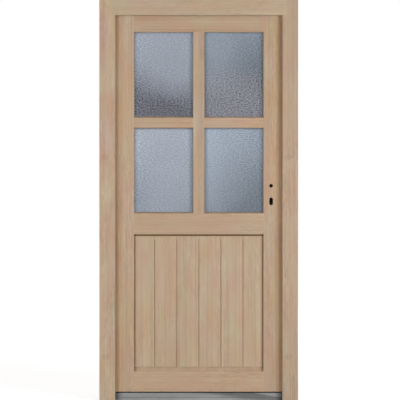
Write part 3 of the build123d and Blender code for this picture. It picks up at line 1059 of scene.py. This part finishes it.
@dataclass(frozen=True)
class Metal(Finish):
    """Drawn, brushed or plated metal.

    Blooms take it from bright to dull. A painted reflection may also change the brightness of a long
    piece along X, by steps that lean with the height, and painted shade may darken its ends.
    """

    label: ClassVar[str] = "metal"

    bright: Colour
    dull: Colour
    roughness: float
    stretch: Triple
    broad: Triple = (7.0, 7.0, 7.0)
    bloom_edge: Pair = (0.30, 0.70)
    sheen: tuple[Triple, ...] = ()  # start and end of each step of the painted reflection along X, and its change
    sheen_share: float = 0.7
    slant: float = 0.0  # how far the steps move along X for each metre down
    end: float = 0.0  # half the length, if the ends take painted shade
    end_reach: float = 0.045
    end_shade: float = -0.62
    brushing: Pair = (0.86, 0.28)
    edge: Colour = (0.80, 0.80, 0.80)
    edge_reach: float = 0.0012
    wear: float = 0.35
    dust_and_shade: float = 0.2
    dust_and_shade_colour: Colour = (0.42, 0.39, 0.35)
    dust_metallic: float = -0.8
    dust_roughness: float = 0.4
    fine_roughness: float = 0.14
    bump: Pair = (0.00006, 0.5)  # height and strength

    def _tone(self, g: Graph, coarse: Socket) -> Socket:
        """The colour under the brush lines.

        Args:
            g: the material's graph.
            coarse: the noise that makes the blooms.

        Returns:
            The colour.
        """
        x, _, z = g.split(g.object_place())
        level = g.step(coarse, *self.bloom_edge)
        if self.sheen:
            place = g.total(x, (z, self.slant))
            steps = [(g.step(place, start, end), change) for start, end, change in self.sheen]
            level = g.between(self.sheen_share, level, g.total(1.0, *steps))
        tone = g.blend(level, self.dull, self.bright)
        if self.end:
            corner = g.step(g.math("ABSOLUTE", x), self.end - self.end_reach, self.end)
            tone = g.scaled(tone, g.line(corner, 1.0, self.end_shade))
        return tone

    def _fill(self, g: MaterialGraph) -> None:
        """Give the shader its colours and values.

        Args:
            g: the material's graph.
        """
        fine, coarse = g.mottle(self.stretch, self.broad)
        brushed = g.scaled(self._tone(g, coarse), g.line(fine, *self.brushing))
        worn = g.blend(g.worn_edge(self.edge_reach, self.wear), brushed, self.edge)
        dust_and_shade = g.dust_and_shade(self.dust_and_shade)
        rough = g.total(self.roughness, (fine, self.fine_roughness), (dust_and_shade, self.dust_roughness))
        g.put("Base Color", g.blend(dust_and_shade, worn, self.dust_and_shade_colour))
        g.put("Metallic", g.line(dust_and_shade, 1.0, self.dust_metallic))
        g.put("Roughness", rough)
        g.bump(fine, *self.bump)


@dataclass(frozen=True)
class Compound(Finish):
    """Rubber, sealant, lacquer or plastic: dull, a little uneven, paler where it is dusty.

    From given heights up it may have other colours.
    """

    label: ClassVar[str] = "compound"

    colour: Colour
    roughness: float
    bands: tuple[tuple[float, Colour], ...] = ()  # where each starts, from the foot up
    band_edge: float = 0.003
    stretch: Triple = (260.0, 260.0, 260.0)
    broad: Triple = (18.0, 18.0, 18.0)
    unevenness: Pair = (0.75, 0.5)
    fine_roughness: float = 0.12
    edge_reach: float = 0.0010
    wear: float = 0.25
    dust_and_shade: float = 0.25
    dust_and_shade_colour: Colour = (0.36, 0.33, 0.30)
    specular: float = 0.25
    bump: Pair = (0.00008, 0.5)  # height and strength

    def _fill(self, g: MaterialGraph) -> None:
        """Give the shader its colours and values.

        Args:
            g: the material's graph.
        """
        fine, coarse = g.mottle(self.stretch, self.broad)
        height = g.split(g.object_place())[2]
        plain: Source = self.colour
        for foot, colour in self.bands:
            band = g.step(height, foot - self.band_edge, foot + self.band_edge)
            plain = g.blend(band, plain, colour)
        uneven = g.scaled(plain, g.line(coarse, *self.unevenness))
        worn = g.scaled(uneven, g.add(1.0, g.worn_edge(self.edge_reach, self.wear)))
        g.put("Base Color", g.blend(g.dust_and_shade(self.dust_and_shade), worn, self.dust_and_shade_colour))
        g.put("Roughness", g.line(fine, self.roughness, self.fine_roughness))
        g.put("Specular IOR Level", self.specular)
        g.bump(fine, *self.bump)


def dress(node: str, material: bpy.types.Material) -> None:
    """Give a solid of the frame its finish.

    Args:
        node: the solid's name.
        material: its finish.
    """
    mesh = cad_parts[node].data
    mesh.materials.clear()
    mesh.materials.append(material)
    LOG.info("dressed %s", node)


def add_piece(
    name: str, surface: Surface, material: bpy.types.Material, body: Body
) -> bpy.types.Object:
    """Make a new piece that rides on a body.

    Args:
        name: the piece.
        surface: its points, its faces and which of them are smooth.
        material: its finish.
        body: what it rides on.

    Returns:
        The object, at the origin.
    """
    points, faces, smooth = surface
    mesh = bpy.data.meshes.new(name)
    mesh.from_pydata(points.tolist(), [], faces)
    mesh.polygons.foreach_set("use_smooth", smooth)
    mesh.materials.append(material)
    mesh.update()
    piece = bpy.data.objects.new(name, mesh)
    bpy.context.scene.collection.objects.link(piece)
    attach(piece, body.value)
    LOG.info("made %s with %d faces", name, len(faces))
    return piece


def grid_faces(rows: int, columns: int, wrap: bool = False) -> np.ndarray:
    """Corner numbers of the squares between the points of a grid.

    Args:
        rows: points down the grid.
        columns: points across it.
        wrap: join the last column to the first.

    Returns:
        One row of four numbers for each square.
    """
    number = np.arange(rows * columns).reshape(rows, columns)
    ahead = np.roll(number, -1, axis=1)
    if not wrap:
        number, ahead = number[:, :-1], ahead[:, :-1]
    return np.stack([number[:-1], ahead[:-1], ahead[1:], number[1:]], axis=-1).reshape(-1, 4)


def circle(radii: np.ndarray, around: int) -> tuple[np.ndarray, np.ndarray]:
    """Points on circles about the origin: the radius times the cosine and the sine of even angles.

    Args:
        radii: one for each circle.
        around: points on a circle.

    Returns:
        Both coordinates, one row for each circle.
    """
    turn = np.linspace(0, 2 * np.pi, around, endpoint=False)
    r, t = np.meshgrid(radii, turn, indexing="ij")
    return r * np.cos(t), r * np.sin(t)


@dataclass
class FrameTimbers:
    """The rebated jambs and head of the frame."""

    hinge_jamb: Colour = (0.457, 0.331, 0.229)
    lock_jamb: Colour = (0.430, 0.309, 0.214)
    head: Colour = (0.441, 0.338, 0.232)
    hinge_contrast: float = 1.15
    lock_contrast: float = 1.65
    head_contrast: float = 0.65
    hinge_hue: float = 1.3
    lock_hue: float = 0.85
    head_hue: float = 0.8
    jamb_run: float = 0.4
    # less of the dark painted shade on the frame's faces that look up
    dust_and_shade: float = 0.3
    knot_heights: Pair = (0.218, 1.203)
    hinge_knots: float = -0.459
    lock_knots: float = 0.445

    def build(self, effects: Effects) -> None:
        """Dress the jambs and the head.

        Args:
            effects: the shared groups.
        """
        jamb = {"grain": Grain.UPRIGHT, "run": self.jamb_run, "dust_and_shade": self.dust_and_shade}
        woods = {
            "hinge_jamb": Softwood(
                tint=self.hinge_jamb,
                seed=1.0,
                contrast=self.hinge_contrast,
                hue=self.hinge_hue,
                knots=(self.hinge_knots, *self.knot_heights),
                **jamb,
            ),
            "lock_jamb": Softwood(
                tint=self.lock_jamb,
                seed=2.6,
                contrast=self.lock_contrast,
                hue=self.lock_hue,
                knots=(self.lock_knots, *self.knot_heights),
                **jamb,
            ),
            "frame_head": Softwood(
                tint=self.head,
                grain=Grain.LEVEL,
                seed=3.1,
                contrast=self.head_contrast,
                hue=self.head_hue,
                dust_and_shade=self.dust_and_shade,
            ),
        }
        for name, wood in woods.items():
            dress(name, wood.material(name, effects))


@dataclass
class LeafTimbers:
    """Stiles, rails, glazing bars, grooved panel and beads of the leaf."""

    hinge_stile: Colour = (0.456, 0.326, 0.227)
    lock_stile: Colour = (0.429, 0.309, 0.215)
    top_rail: Colour = (0.411, 0.289, 0.198)
    middle_rail: Colour = (0.438, 0.314, 0.211)
    bottom_rail: Colour = (0.457, 0.320, 0.212)
    upright_bar: Colour = (0.433, 0.323, 0.224)
    cross_bar: Colour = (0.447, 0.312, 0.214)
    panel: Colour = (0.447, 0.325, 0.221)
    bead: Colour = (0.455, 0.322, 0.217)
    bead_seed: float = 20.0  # of the first pane
    stile_contrast: float = 1.0
    rail_contrast: float = 0.95
    rail_run: float = 0.8
    rail_hue: float = 0.65
    pocket_margin: float = 0.002
    pocket_front: float = 0.0182  # how far the painted shade comes forward into the lock's holes
    # painted shade along the closing edges of the stiles, where the frame's lip casts its shadow
    stile_unshaded: float = 0.362  # from the middle of the door
    stile_shade: Colour = (0.99, 0.91, 0.81)
    stile_shade_reach: float = 0.032
    panel_contrast: float = 0.74
    panel_run: float = 1.3
    board_width: float = 0.1093
    panel_cover: float = 0.012  # what the rails and stiles cover of the panel
    # painted shade on the panel's margins, next to the steps of the stiles and the middle rail
    panel_shade: Colour = (0.83, 0.78, 0.70)
    panel_shade_reach: float = 0.020
    sill_foot: float = 0.141
    sill_half: float = 0.320
    # painted shade over the sloped sill and in its two corners, and a painted highlight along the arris at
    # its foot
    sill_shade: Colour = (0.93, 0.92, 0.91)
    sill_shade_foot: float = 0.159
    sill_shade_reach: float = 0.018
    sill_end: float = 0.006
    sill_end_shade: Colour = (0.55, 0.53, 0.50)
    sill_end_reach: float = 0.013
    sill_highlight: Colour = (1.10, 1.10, 1.10)
    highlight_drop: Pair = (0.0045, 0.001)  # where the painted highlight starts and ends under the sill's foot
    arris_edge: float = 0.0015
    depth_edge: float = 0.004  # how softly the sill's patches end at the middle of the leaf

    def _sill_patches(self) -> tuple[Patch, ...]:
        """Painted shade under the panel and in the sill's two corners, and a painted highlight along its
        foot.

        Returns:
            The patches, on the outside only.
        """

        def patch(sides: Pair, heights: Pair, side_edge: float, height_edge: float, tone: Colour) -> Patch:
            """A patch between two sides and two heights, in the outer half of the leaf."""
            box = ((sides[0], -FAR, heights[0]), (sides[1], 0.0, heights[1]))
            return Patch(box, (side_edge, self.depth_edge, height_edge), tone)

        whole = (-FAR, FAR)
        highlight_foot, highlight_head = (self.sill_foot - drop for drop in self.highlight_drop)
        corner_heights = (self.sill_foot + self.arris_edge, FAR)
        inner, outer = self.sill_half - self.sill_end, self.sill_half + self.sill_end
        corners = (
            patch(sides, corner_heights, self.sill_end_reach, self.arris_edge, self.sill_end_shade)
            for sides in ((-outer, -inner), (inner, outer))
        )
        return (
            patch(whole, (self.sill_shade_foot, FAR), FAR, self.sill_shade_reach, self.sill_shade),
            patch(whole, (highlight_foot, highlight_head), FAR, self.arris_edge, self.sill_highlight),
            *corners,
        )

    def _stile_shade_patch(self) -> Patch:
        """Painted shade on the outer parts of the two stiles, next to the frame's lip."""
        box = ((-self.stile_unshaded, -FAR, -FAR), (self.stile_unshaded, FAR, FAR))
        return Patch(box, (self.stile_shade_reach,) * 3, self.stile_shade, outside=True)

    def _panel_shade_patch(self) -> Patch:
        """Painted shade on the panel, along the stiles and the middle rail.

        Returns:
            The patch.
        """
        low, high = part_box("grooved_panel")
        margin = self.panel_cover + self.panel_shade_reach
        box = ((low[0] + margin, -FAR, -FAR), (high[0] - margin, FAR, high[2] - margin))
        return Patch(box, (self.panel_shade_reach,) * 3, self.panel_shade, outside=True)

    def _lock_pocket(self) -> Box:
        """The space round the lock case, from the case's own box: it is painted near-black as shade.

        Returns:
            The space.
        """
        low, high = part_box("lock_case")
        margin = self.pocket_margin
        return (
            (low[0] - margin, low[1] - self.pocket_front, low[2] - margin),
            (high[0] + margin, high[1] + margin, high[2] + margin),
        )

    def _woods(self) -> dict[str, Softwood]:
        """Choose the finish of every timber.

        Returns:
            The finishes by name.
        """
        stile = {"grain": Grain.UPRIGHT, "contrast": self.stile_contrast}
        stile_shaded = {**stile, "patches": (self._stile_shade_patch(),)}
        bar = {"grain": Grain.LEVEL, "contrast": self.rail_contrast}
        rail = {**bar, "hue": self.rail_hue, "run": self.rail_run}
        bead = {"tint": self.bead, "grain": Grain.UPRIGHT}
        sill, pocket = self._sill_patches(), self._lock_pocket()
        woods = {
            "hinge_stile": Softwood(tint=self.hinge_stile, seed=4.2, **stile_shaded),
            "lock_stile": Softwood(tint=self.lock_stile, seed=5.7, pocket=pocket, **stile_shaded),
            "top_rail": Softwood(tint=self.top_rail, seed=6.3, **bar),
            "middle_rail": Softwood(tint=self.middle_rail, seed=7.9, **rail),
            "bottom_rail": Softwood(tint=self.bottom_rail, seed=8.4, patches=sill, **rail),
            "upright_bar": Softwood(tint=self.upright_bar, seed=9.2, **stile),
            "left_cross_bar": Softwood(tint=self.cross_bar, seed=10.8, **bar),
            "right_cross_bar": Softwood(tint=self.cross_bar, seed=11.3, **bar),
            "grooved_panel": Softwood(
                tint=self.panel,
                grain=Grain.UPRIGHT,
                seed=12.5,
                contrast=self.panel_contrast,
                run=self.panel_run,
                board=self.board_width,
                patches=(self._panel_shade_patch(),),
            ),
            "panel_beads": Softwood(seed=13.6, **bead),
        }
        for number, pane in enumerate(PANES):
            woods[f"beads_{pane}"] = Softwood(seed=self.bead_seed + number, **bead)
        return woods

    def build(self, effects: Effects) -> None:
        """Dress the timbers of the leaf.

        Args:
            effects: the shared groups.
        """
        for name, wood in self._woods().items():
            dress(name, wood.material(name, effects))


@dataclass
class Glazing:
    """Four sealed units with their spacers and sealant, and the pins of the beads."""

    clear: ClearGlass = ClearGlass()
    spacer: Metal = Metal(
        bright=(0.34, 0.35, 0.36),
        dull=(0.26, 0.27, 0.28),
        roughness=0.45,
        stretch=(300.0, 300.0, 300.0),
        dust_and_shade=0.0,
    )
    pin: Metal = Metal(
        bright=(0.52, 0.50, 0.46),
        dull=(0.40, 0.38, 0.35),
        roughness=0.35,
        stretch=(400.0, 400.0, 400.0),
        dust_and_shade=0.0,
    )
    # beside the panel the sealant is kept pale as painted light against the shade of the side gaps
    panel_sealant_lit: Colour = (0.45, 0.32, 0.22)
    top_sealant_shaded: Colour = (0.125, 0.070, 0.032)  # along the panel's top, dark as painted shade
    pane_sealant: Colour = (0.30, 0.285, 0.27)
    top_drop: float = 0.021  # where the painted shade of the sealant starts, under the panel's top
    pane_rise: float = 0.04  # where the panes' sealant starts, over the panel's top
    sealant_roughness: float = 0.7
    sealant_dust: float = 0.1
    sealant_specular: float = 0.05
    bar_half: float = 0.028
    step: float = 0.0032
    relief: float = 0.00035
    relief_gain: float = 1.4
    relief_seed: int = 11  # of the first pane
    waves: int = 26
    shortest: float = 0.006
    longest: float = 0.014
    pin_radius: float = 0.0011
    pin_rise: float = 0.0003
    pin_profile: tuple[float, ...] = (0.15, 0.6, 1.0, 0.9)  # in shares of the radius
    pin_inset: float = 0.004  # from the bead's outer edge
    pin_end: float = 0.050  # from the bead's end
    pin_spacing: float = 0.180
    pin_around: int = 12

    def _relief(self, x: np.ndarray, z: np.ndarray, seed: int) -> np.ndarray:
        """The hammered face: the mean of plane waves in random directions, scaled to 0 to 1.

        Args:
            x: places across the pane.
            z: places up the pane.
            seed: picks the waves.

        Returns:
            The height at each place.
        """
        draw = np.random.default_rng(seed)
        turn = draw.uniform(0, 2 * np.pi, self.waves)
        number = 2 * np.pi / draw.uniform(self.shortest, self.longest, self.waves)
        phase = draw.uniform(0, 2 * np.pi, self.waves)
        swing = x[..., None] * np.cos(turn) * number + z[..., None] * np.sin(turn) * number + phase
        height = np.cos(swing).mean(axis=-1)
        return np.clip(0.5 + self.relief_gain * height, 0.0, 1.0)

    def _sheet(self, node: str, seed: int) -> Surface:
        """A closed sheet: a relief grid in front, a rim, and one flat face behind.

        Args:
            node: the solid whose box it fills.
            seed: picks the relief.

        Returns:
            The surface.
        """
        low, high = (np.array(corner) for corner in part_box(node))
        columns = int((high[0] - low[0]) / self.step) + 1
        rows = int((high[2] - low[2]) / self.step) + 1
        x, z = np.meshgrid(np.linspace(low[0], high[0], columns), np.linspace(low[2], high[2], rows))
        y = low[1] + self.relief * self._relief(x, z, seed)
        front = np.stack([x, y, z], axis=-1).reshape(-1, 3)
        number = np.arange(rows * columns).reshape(rows, columns)
        rim = np.concatenate([number[0, :-1], number[:-1, -1], number[-1, :0:-1], number[:0:-1, 0]])
        behind = front[rim]
        behind[:, 1] = high[1]
        back = np.arange(len(rim)) + len(front)
        sides = np.stack([rim, back, np.roll(back, -1), np.roll(rim, -1)], axis=-1)
        squares = grid_faces(rows, columns)
        faces = squares.tolist() + sides.tolist() + [back[::-1].tolist()]
        smooth = np.arange(len(faces)) < len(squares)
        return np.concatenate([front, behind]), faces, smooth

    def _pin_places(self, node: str) -> np.ndarray:
        """Places of the pins along the four beads of one opening, evenly spread between the ends.

        Args:
            node: the beads.

        Returns:
            One row for each pin, on the face of the beads.
        """
        low, high = (np.array(corner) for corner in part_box(node))
        inner_low, inner_high = low + self.pin_inset, high - self.pin_inset

        def spread(start: float, stop: float) -> np.ndarray:
            """Even places between two ends."""
            count = 1 + math.ceil((stop - start - 2 * self.pin_end) / self.pin_spacing)
            return np.linspace(start + self.pin_end, stop - self.pin_end, count)

        level, upright = spread(low[0], high[0]), spread(low[2], high[2])
        x = np.concatenate([np.tile(level, 2), np.repeat([inner_low[0], inner_high[0]], len(upright))])
        z = np.concatenate([np.repeat([inner_low[2], inner_high[2]], len(level)), np.tile(upright, 2)])
        return np.stack([x, np.full_like(x, high[1]), z], axis=-1)

    def _pins(self) -> Surface:
        """Low domed pin heads: a lathe profile that falls with the square of the radius, at every place.

        Returns:
            The surface of all the pins.
        """
        beads = [*(f"beads_{pane}" for pane in PANES), "panel_beads"]
        places = np.concatenate([self._pin_places(node) for node in beads])
        profile = np.array(self.pin_profile)
        level = self.pin_rise * (1 - profile**2)
        level[-1] = -self.pin_rise
        u, v = circle(self.pin_radius * profile, self.pin_around)
        head = np.stack([u, np.broadcast_to(level[:, None], u.shape), v], axis=-1).reshape(-1, 3)
        points = (places[:, None, :] + head[None, :, :]).reshape(-1, 3)
        start = (np.arange(len(places)) * len(head))[:, None]
        squares = grid_faces(len(profile), self.pin_around, wrap=True)[None] + start[..., None]
        ring = np.arange(self.pin_around)[None]
        crown = ring[:, ::-1] + start
        foot = ring + (len(profile) - 1) * self.pin_around + start
        faces = squares.reshape(-1, 4).tolist() + crown.tolist() + foot.tolist()
        return points, faces, np.zeros(len(faces), dtype=bool)

    def _obscure(self) -> ObscureGlass:
        """The outer sheets' finish, with its rows of panes between the middles of the bars.

        Returns:
            The finish.
        """
        lower, lower_top = (corner[2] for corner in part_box("outer_glass_lower_left"))
        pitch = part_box("outer_glass_upper_left")[0][2] - lower
        foot = (lower + lower_top - pitch) / 2
        return ObscureGlass(row_foot=foot, row_pitch=pitch, bar_half=self.bar_half)

    def _sealant(self) -> Compound:
        """The sealant: pale brown beside the panel as painted light, dark along its top as painted shade,
        and grey round the panes.

        Returns:
            The finish.
        """
        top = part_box("grooved_panel")[1][2]
        return Compound(
            colour=self.panel_sealant_lit,
            roughness=self.sealant_roughness,
            bands=((top - self.top_drop, self.top_sealant_shaded), (top + self.pane_rise, self.pane_sealant)),
            dust_and_shade=self.sealant_dust,
            specular=self.sealant_specular,
        )

    def build(self, effects: Effects) -> None:
        """Make the obscure sheets and the pins, and dress the rest of the units.

        Args:
            effects: the shared groups.
        """
        obscure = self._obscure().material("panes", effects)
        clear = self.clear.material("panes", effects)
        for seed, pane in enumerate(PANES, self.relief_seed):
            node = f"outer_glass_{pane}"
            surface = self._sheet(node, seed)
            sheet = add_piece(f"obscure_sheet_{pane}", surface, obscure, Body.LEAF)
            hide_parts(node)
            dress(f"inner_glass_{pane}", clear)
        dress("glass_spacers", self.spacer.material("spacers", effects))
        dress("glazing_seals", self._sealant().material("sealant", effects))
        pin = self.pin.material("pins", effects)
        add_piece("bead_pins", self._pins(), pin, Body.LEAF)


@dataclass
class Threshold:
    """The aluminium threshold with its plastic core, and the seals of the frame."""

    metal: Metal = Metal(
        bright=(0.286, 0.287, 0.281),
        dull=(0.096, 0.096, 0.094),
        roughness=0.36,
        stretch=(6.0, 420.0, 420.0),
        broad=(4.5, 20.0, 20.0),
        # its long blooms and its steps along X are a painted reflection; its two ends take painted shade
        sheen=((0.16, 0.356, -1.0), (0.465, 0.524, 0.85)),
        slant=6.2,
        end=0.412,
        edge=(0.36, 0.36, 0.36),
        wear=0.15,
    )
    core: Compound = Compound(colour=(0.075, 0.075, 0.08), roughness=0.5)
    rubber: Compound = Compound(colour=(0.028, 0.028, 0.030), roughness=0.62)

    def build(self, effects: Effects) -> None:
        """Dress the threshold and the seals.

        Args:
            effects: the shared groups.
        """
        for name in ("threshold_rail", "threshold_tread"):
            dress(name, self.metal.material(name, effects))
        dress("threshold_core", self.core.material("core", effects))
        rubber = self.rubber.material("seals", effects)
        for name in ("threshold_seal", "frame_seals"):
            dress(name, rubber)


@dataclass
class Ironmongery:
    """Lock, strike plate and hinges, with the screws of the two plates."""

    zinc: Metal = Metal(
        bright=(0.44, 0.44, 0.43),
        dull=(0.34, 0.34, 0.33),
        roughness=0.30,
        stretch=(90.0, 90.0, 90.0),
        broad=(30.0, 30.0, 30.0),
    )
    # near-black case: a black coating, and painted shade for the depth of the cylinder hole
    lacquer_and_shade: Compound = Compound(colour=(0.012, 0.012, 0.013), roughness=0.6, dust_and_shade=0.0)
    head_radius: float = 0.0042
    head_rise: float = 0.0007
    head_sink: float = 0.0012
    head_hub: float = 0.02  # the innermost ring, in shares of the radius
    head_skirt: float = 0.98  # the rim under the plate's face, in shares of the radius
    recess_arm: float = 0.0026
    recess_width: float = 0.0009
    recess_depth: float = 0.0009
    recess_power: int = 4  # how steep the slots' sides are
    end_margin: float = 0.010
    around: int = 48
    rings: int = 22

    def _screw(self, centre: Vector, side: float) -> Surface:
        """A raised screw head: a lathe profile of a low dome with a cross pressed into it.

        The dome falls with the square of the radius. The cross lowers it where the point lies
        within half a slot's width of either diameter and inside the arm's length.

        Args:
            centre: middle of the head on the plate's face.
            side: 1 where the plate looks to +X, -1 where it looks to -X.

        Returns:
            The surface.
        """
        dome = np.linspace(self.head_hub, 1.0, self.rings)
        reach = np.concatenate([dome, [self.head_skirt, self.head_hub]])
        level = self.head_rise * (1 - reach**2)
        level[self.rings :] = -self.head_sink
        u, v = circle(self.head_radius * reach, self.around)
        slot = np.minimum(np.abs(u), np.abs(v)) / (self.recess_width / 2)
        inside = (1 - np.clip(slot, 0, 1) ** self.recess_power) * (np.hypot(u, v) < self.recess_arm)
        height = level[:, None] - self.recess_depth * inside * (level[:, None] >= 0)
        points = np.stack([side * height, side * u, v], axis=-1).reshape(-1, 3) + np.array(centre)
        squares = grid_faces(len(reach), self.around, wrap=True)
        top = np.arange(self.around)
        bottom = top[::-1] + (len(reach) - 1) * self.around
        faces = squares[:, ::-1].tolist() + [top.tolist(), bottom.tolist()]
        return points, faces, np.zeros(len(faces), dtype=bool)

    def _drive(self, node: str, side: float, body: Body, plate: bpy.types.Material) -> None:
        """Drive the two screws of a plate.

        Args:
            node: the plate.
            side: 1 where it looks to +X, -1 where it looks to -X.
            body: what it rides on.
            plate: its finish.
        """
        low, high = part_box(node)
        face = high[0] if side > 0 else low[0]
        for end, height in (("lower", low[2] + self.end_margin), ("upper", high[2] - self.end_margin)):
            centre = Vector((face, (low[1] + high[1]) / 2, height))
            add_piece(f"{node}_{end}_screw", self._screw(centre, side), plate, body)

    def build(self, effects: Effects) -> None:
        """Dress the ironmongery and drive its screws.

        Args:
            effects: the shared groups.
        """
        plate = self.zinc.material("lock", effects)
        for name in ("lock_faceplate", "lock_bolts", "strike_plate"):
            dress(name, plate)
        dress("lock_case", self.lacquer_and_shade.material("lock case", effects))
        hinge = self.zinc.material("hinges", effects)
        for place in HINGES:
            dress(f"{place}_hinge_frame_half", hinge)
            dress(f"{place}_hinge_leaf_half", hinge)
        self._drive("lock_faceplate", 1.0, Body.LEAF, plate)
        self._drive("strike_plate", -1.0, Body.FRAME, plate)


@dataclass
class Studio:
    """Camera, lamps, floor and white surroundings."""

    distance: float = 5.0
    front: float = -0.034
    aim_x: float = 0.0062
    aim_z: float = 0.9905
    metres_per_pixel: float = 0.004927
    sensor: float = 36.0
    lamp_aim: Triple = (0.0, 0.0, 1.05)
    lamp_distance: float = 4.2
    lamp_lift: float = 0.06  # in shares of the distance
    lamp_size: Pair = (1.7, 2.6)
    lamp_colour: Colour = (0.935, 1.0, 1.065)
    right_angle: float = 54.0
    left_angle: float = 48.5
    back_angle: float = 152.0
    right_power: float = 128.0
    left_power: float = 87.5
    back_power: float = 125.0
    ambient: Colour = (0.345, 0.262, 0.190)
    white: Colour = (1.0, 1.0, 1.0)
    floor_colour: Colour = (0.55, 0.55, 0.55)
    floor_roughness: float = 0.9
    floor_half: float = 20.0
    floor_drop: float = 0.0002
    glow_colour: Colour = (0.925, 0.965, 1.0)
    near_glow: float = 0.665
    far_glow: float = 0.88
    glow_reach: Pair = (1.0, 4.5)

    def _camera(self) -> None:
        """A camera square to the door, framed as the photograph is."""
        data = bpy.data.cameras.new("camera")
        data.sensor_width = self.sensor
        data.lens = self.sensor * self.distance / (self.metres_per_pixel * PHOTO_SIDE)
        camera = bpy.data.objects.new("camera", data)
        camera.location = (self.aim_x, self.front - self.distance, self.aim_z)
        camera.rotation_euler = (math.radians(90), 0, 0)
        bpy.context.scene.collection.objects.link(camera)
        bpy.context.scene.camera = camera

    def _lamp(self, name: str, angle: float, power: float, mirrored: bool = True) -> None:
        """A tall soft lamp that looks at the middle of the door.

        Args:
            name: the lamp.
            angle: degrees round from the front, positive to the right.
            power: watts.
            mirrored: whether it shows in glass and metal.
        """
        data = bpy.data.lights.new(name, "AREA")
        data.shape = "RECTANGLE"
        data.size, data.size_y = self.lamp_size
        data.energy = power
        data.color = self.lamp_colour
        lamp = bpy.data.objects.new(name, data)
        turn = math.radians(angle)
        aim = Vector(self.lamp_aim)
        away = Vector((math.sin(turn), -math.cos(turn), self.lamp_lift))
        lamp.location = aim + self.lamp_distance * away
        lamp.rotation_euler = (aim - lamp.location).to_track_quat("-Z", "Y").to_euler()
        lamp.visible_glossy = lamp.visible_transmission = mirrored
        bpy.context.scene.collection.objects.link(lamp)

    def _seen(self, g: Graph) -> Socket:
        """A mask: 1 for rays from the camera, off gloss or through glass, else 0."""
        path = g.node("ShaderNodeLightPath").outputs
        return g.largest(path["Is Camera Ray"], path["Is Glossy Ray"], path["Is Transmission Ray"])

    def _floor(self) -> None:
        """A pale floor that looks white, glows less near the door, and takes the door's shadow."""
        g = MaterialGraph("floor")
        g.put("Base Color", self.floor_colour)
        g.put("Roughness", self.floor_roughness)
        g.put("Emission Color", self.glow_colour)
        away = g.vector("LENGTH", g.object_place())
        glow = g.between(g.step(away, *self.glow_reach), self.near_glow, self.far_glow)
        g.put("Emission Strength", g.times(self._seen(g), glow))
        mesh = bpy.data.meshes.new("floor")
        half, level = self.floor_half, -self.floor_drop
        corners = [(-half, -half, level), (half, -half, level), (half, half, level), (-half, half, level)]
        mesh.from_pydata(corners, [], [(0, 1, 2, 3)])
        mesh.materials.append(g.material)
        floor = bpy.data.objects.new("floor", mesh)
        bpy.context.scene.collection.objects.link(floor)

    def _world(self) -> None:
        """White surroundings that light the door softly."""
        world = bpy.data.worlds.new("surroundings")
        world.use_nodes = True
        g = Graph(world.node_tree)
        back = world.node_tree.nodes["Background"]
        back.inputs["Strength"].default_value = 1.0
        g.feed(back.inputs["Color"], g.blend(self._seen(g), self.ambient, self.white))
        bpy.context.scene.world = world

    def build(self) -> None:
        """Set up the studio."""
        bpy.context.scene.view_settings.view_transform = "Standard"
        self._camera()
        self._lamp("right_lamp", self.right_angle, self.right_power)
        self._lamp("left_lamp", -self.left_angle, self.left_power)
        self._lamp("back_lamp", self.back_angle, self.back_power, mirrored=False)
        self._floor()
        self._world()
        LOG.info("studio ready")


def main() -> None:
    """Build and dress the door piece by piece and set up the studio."""
    logging.basicConfig(level=logging.INFO)
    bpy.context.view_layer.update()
    effects = Effects()
    FrameTimbers().build(effects)
    Threshold().build(effects)
    LeafTimbers().build(effects)
    Glazing().build(effects)
    Ironmongery().build(effects)
    Studio().build()


if __name__ == "__main__":
    main()
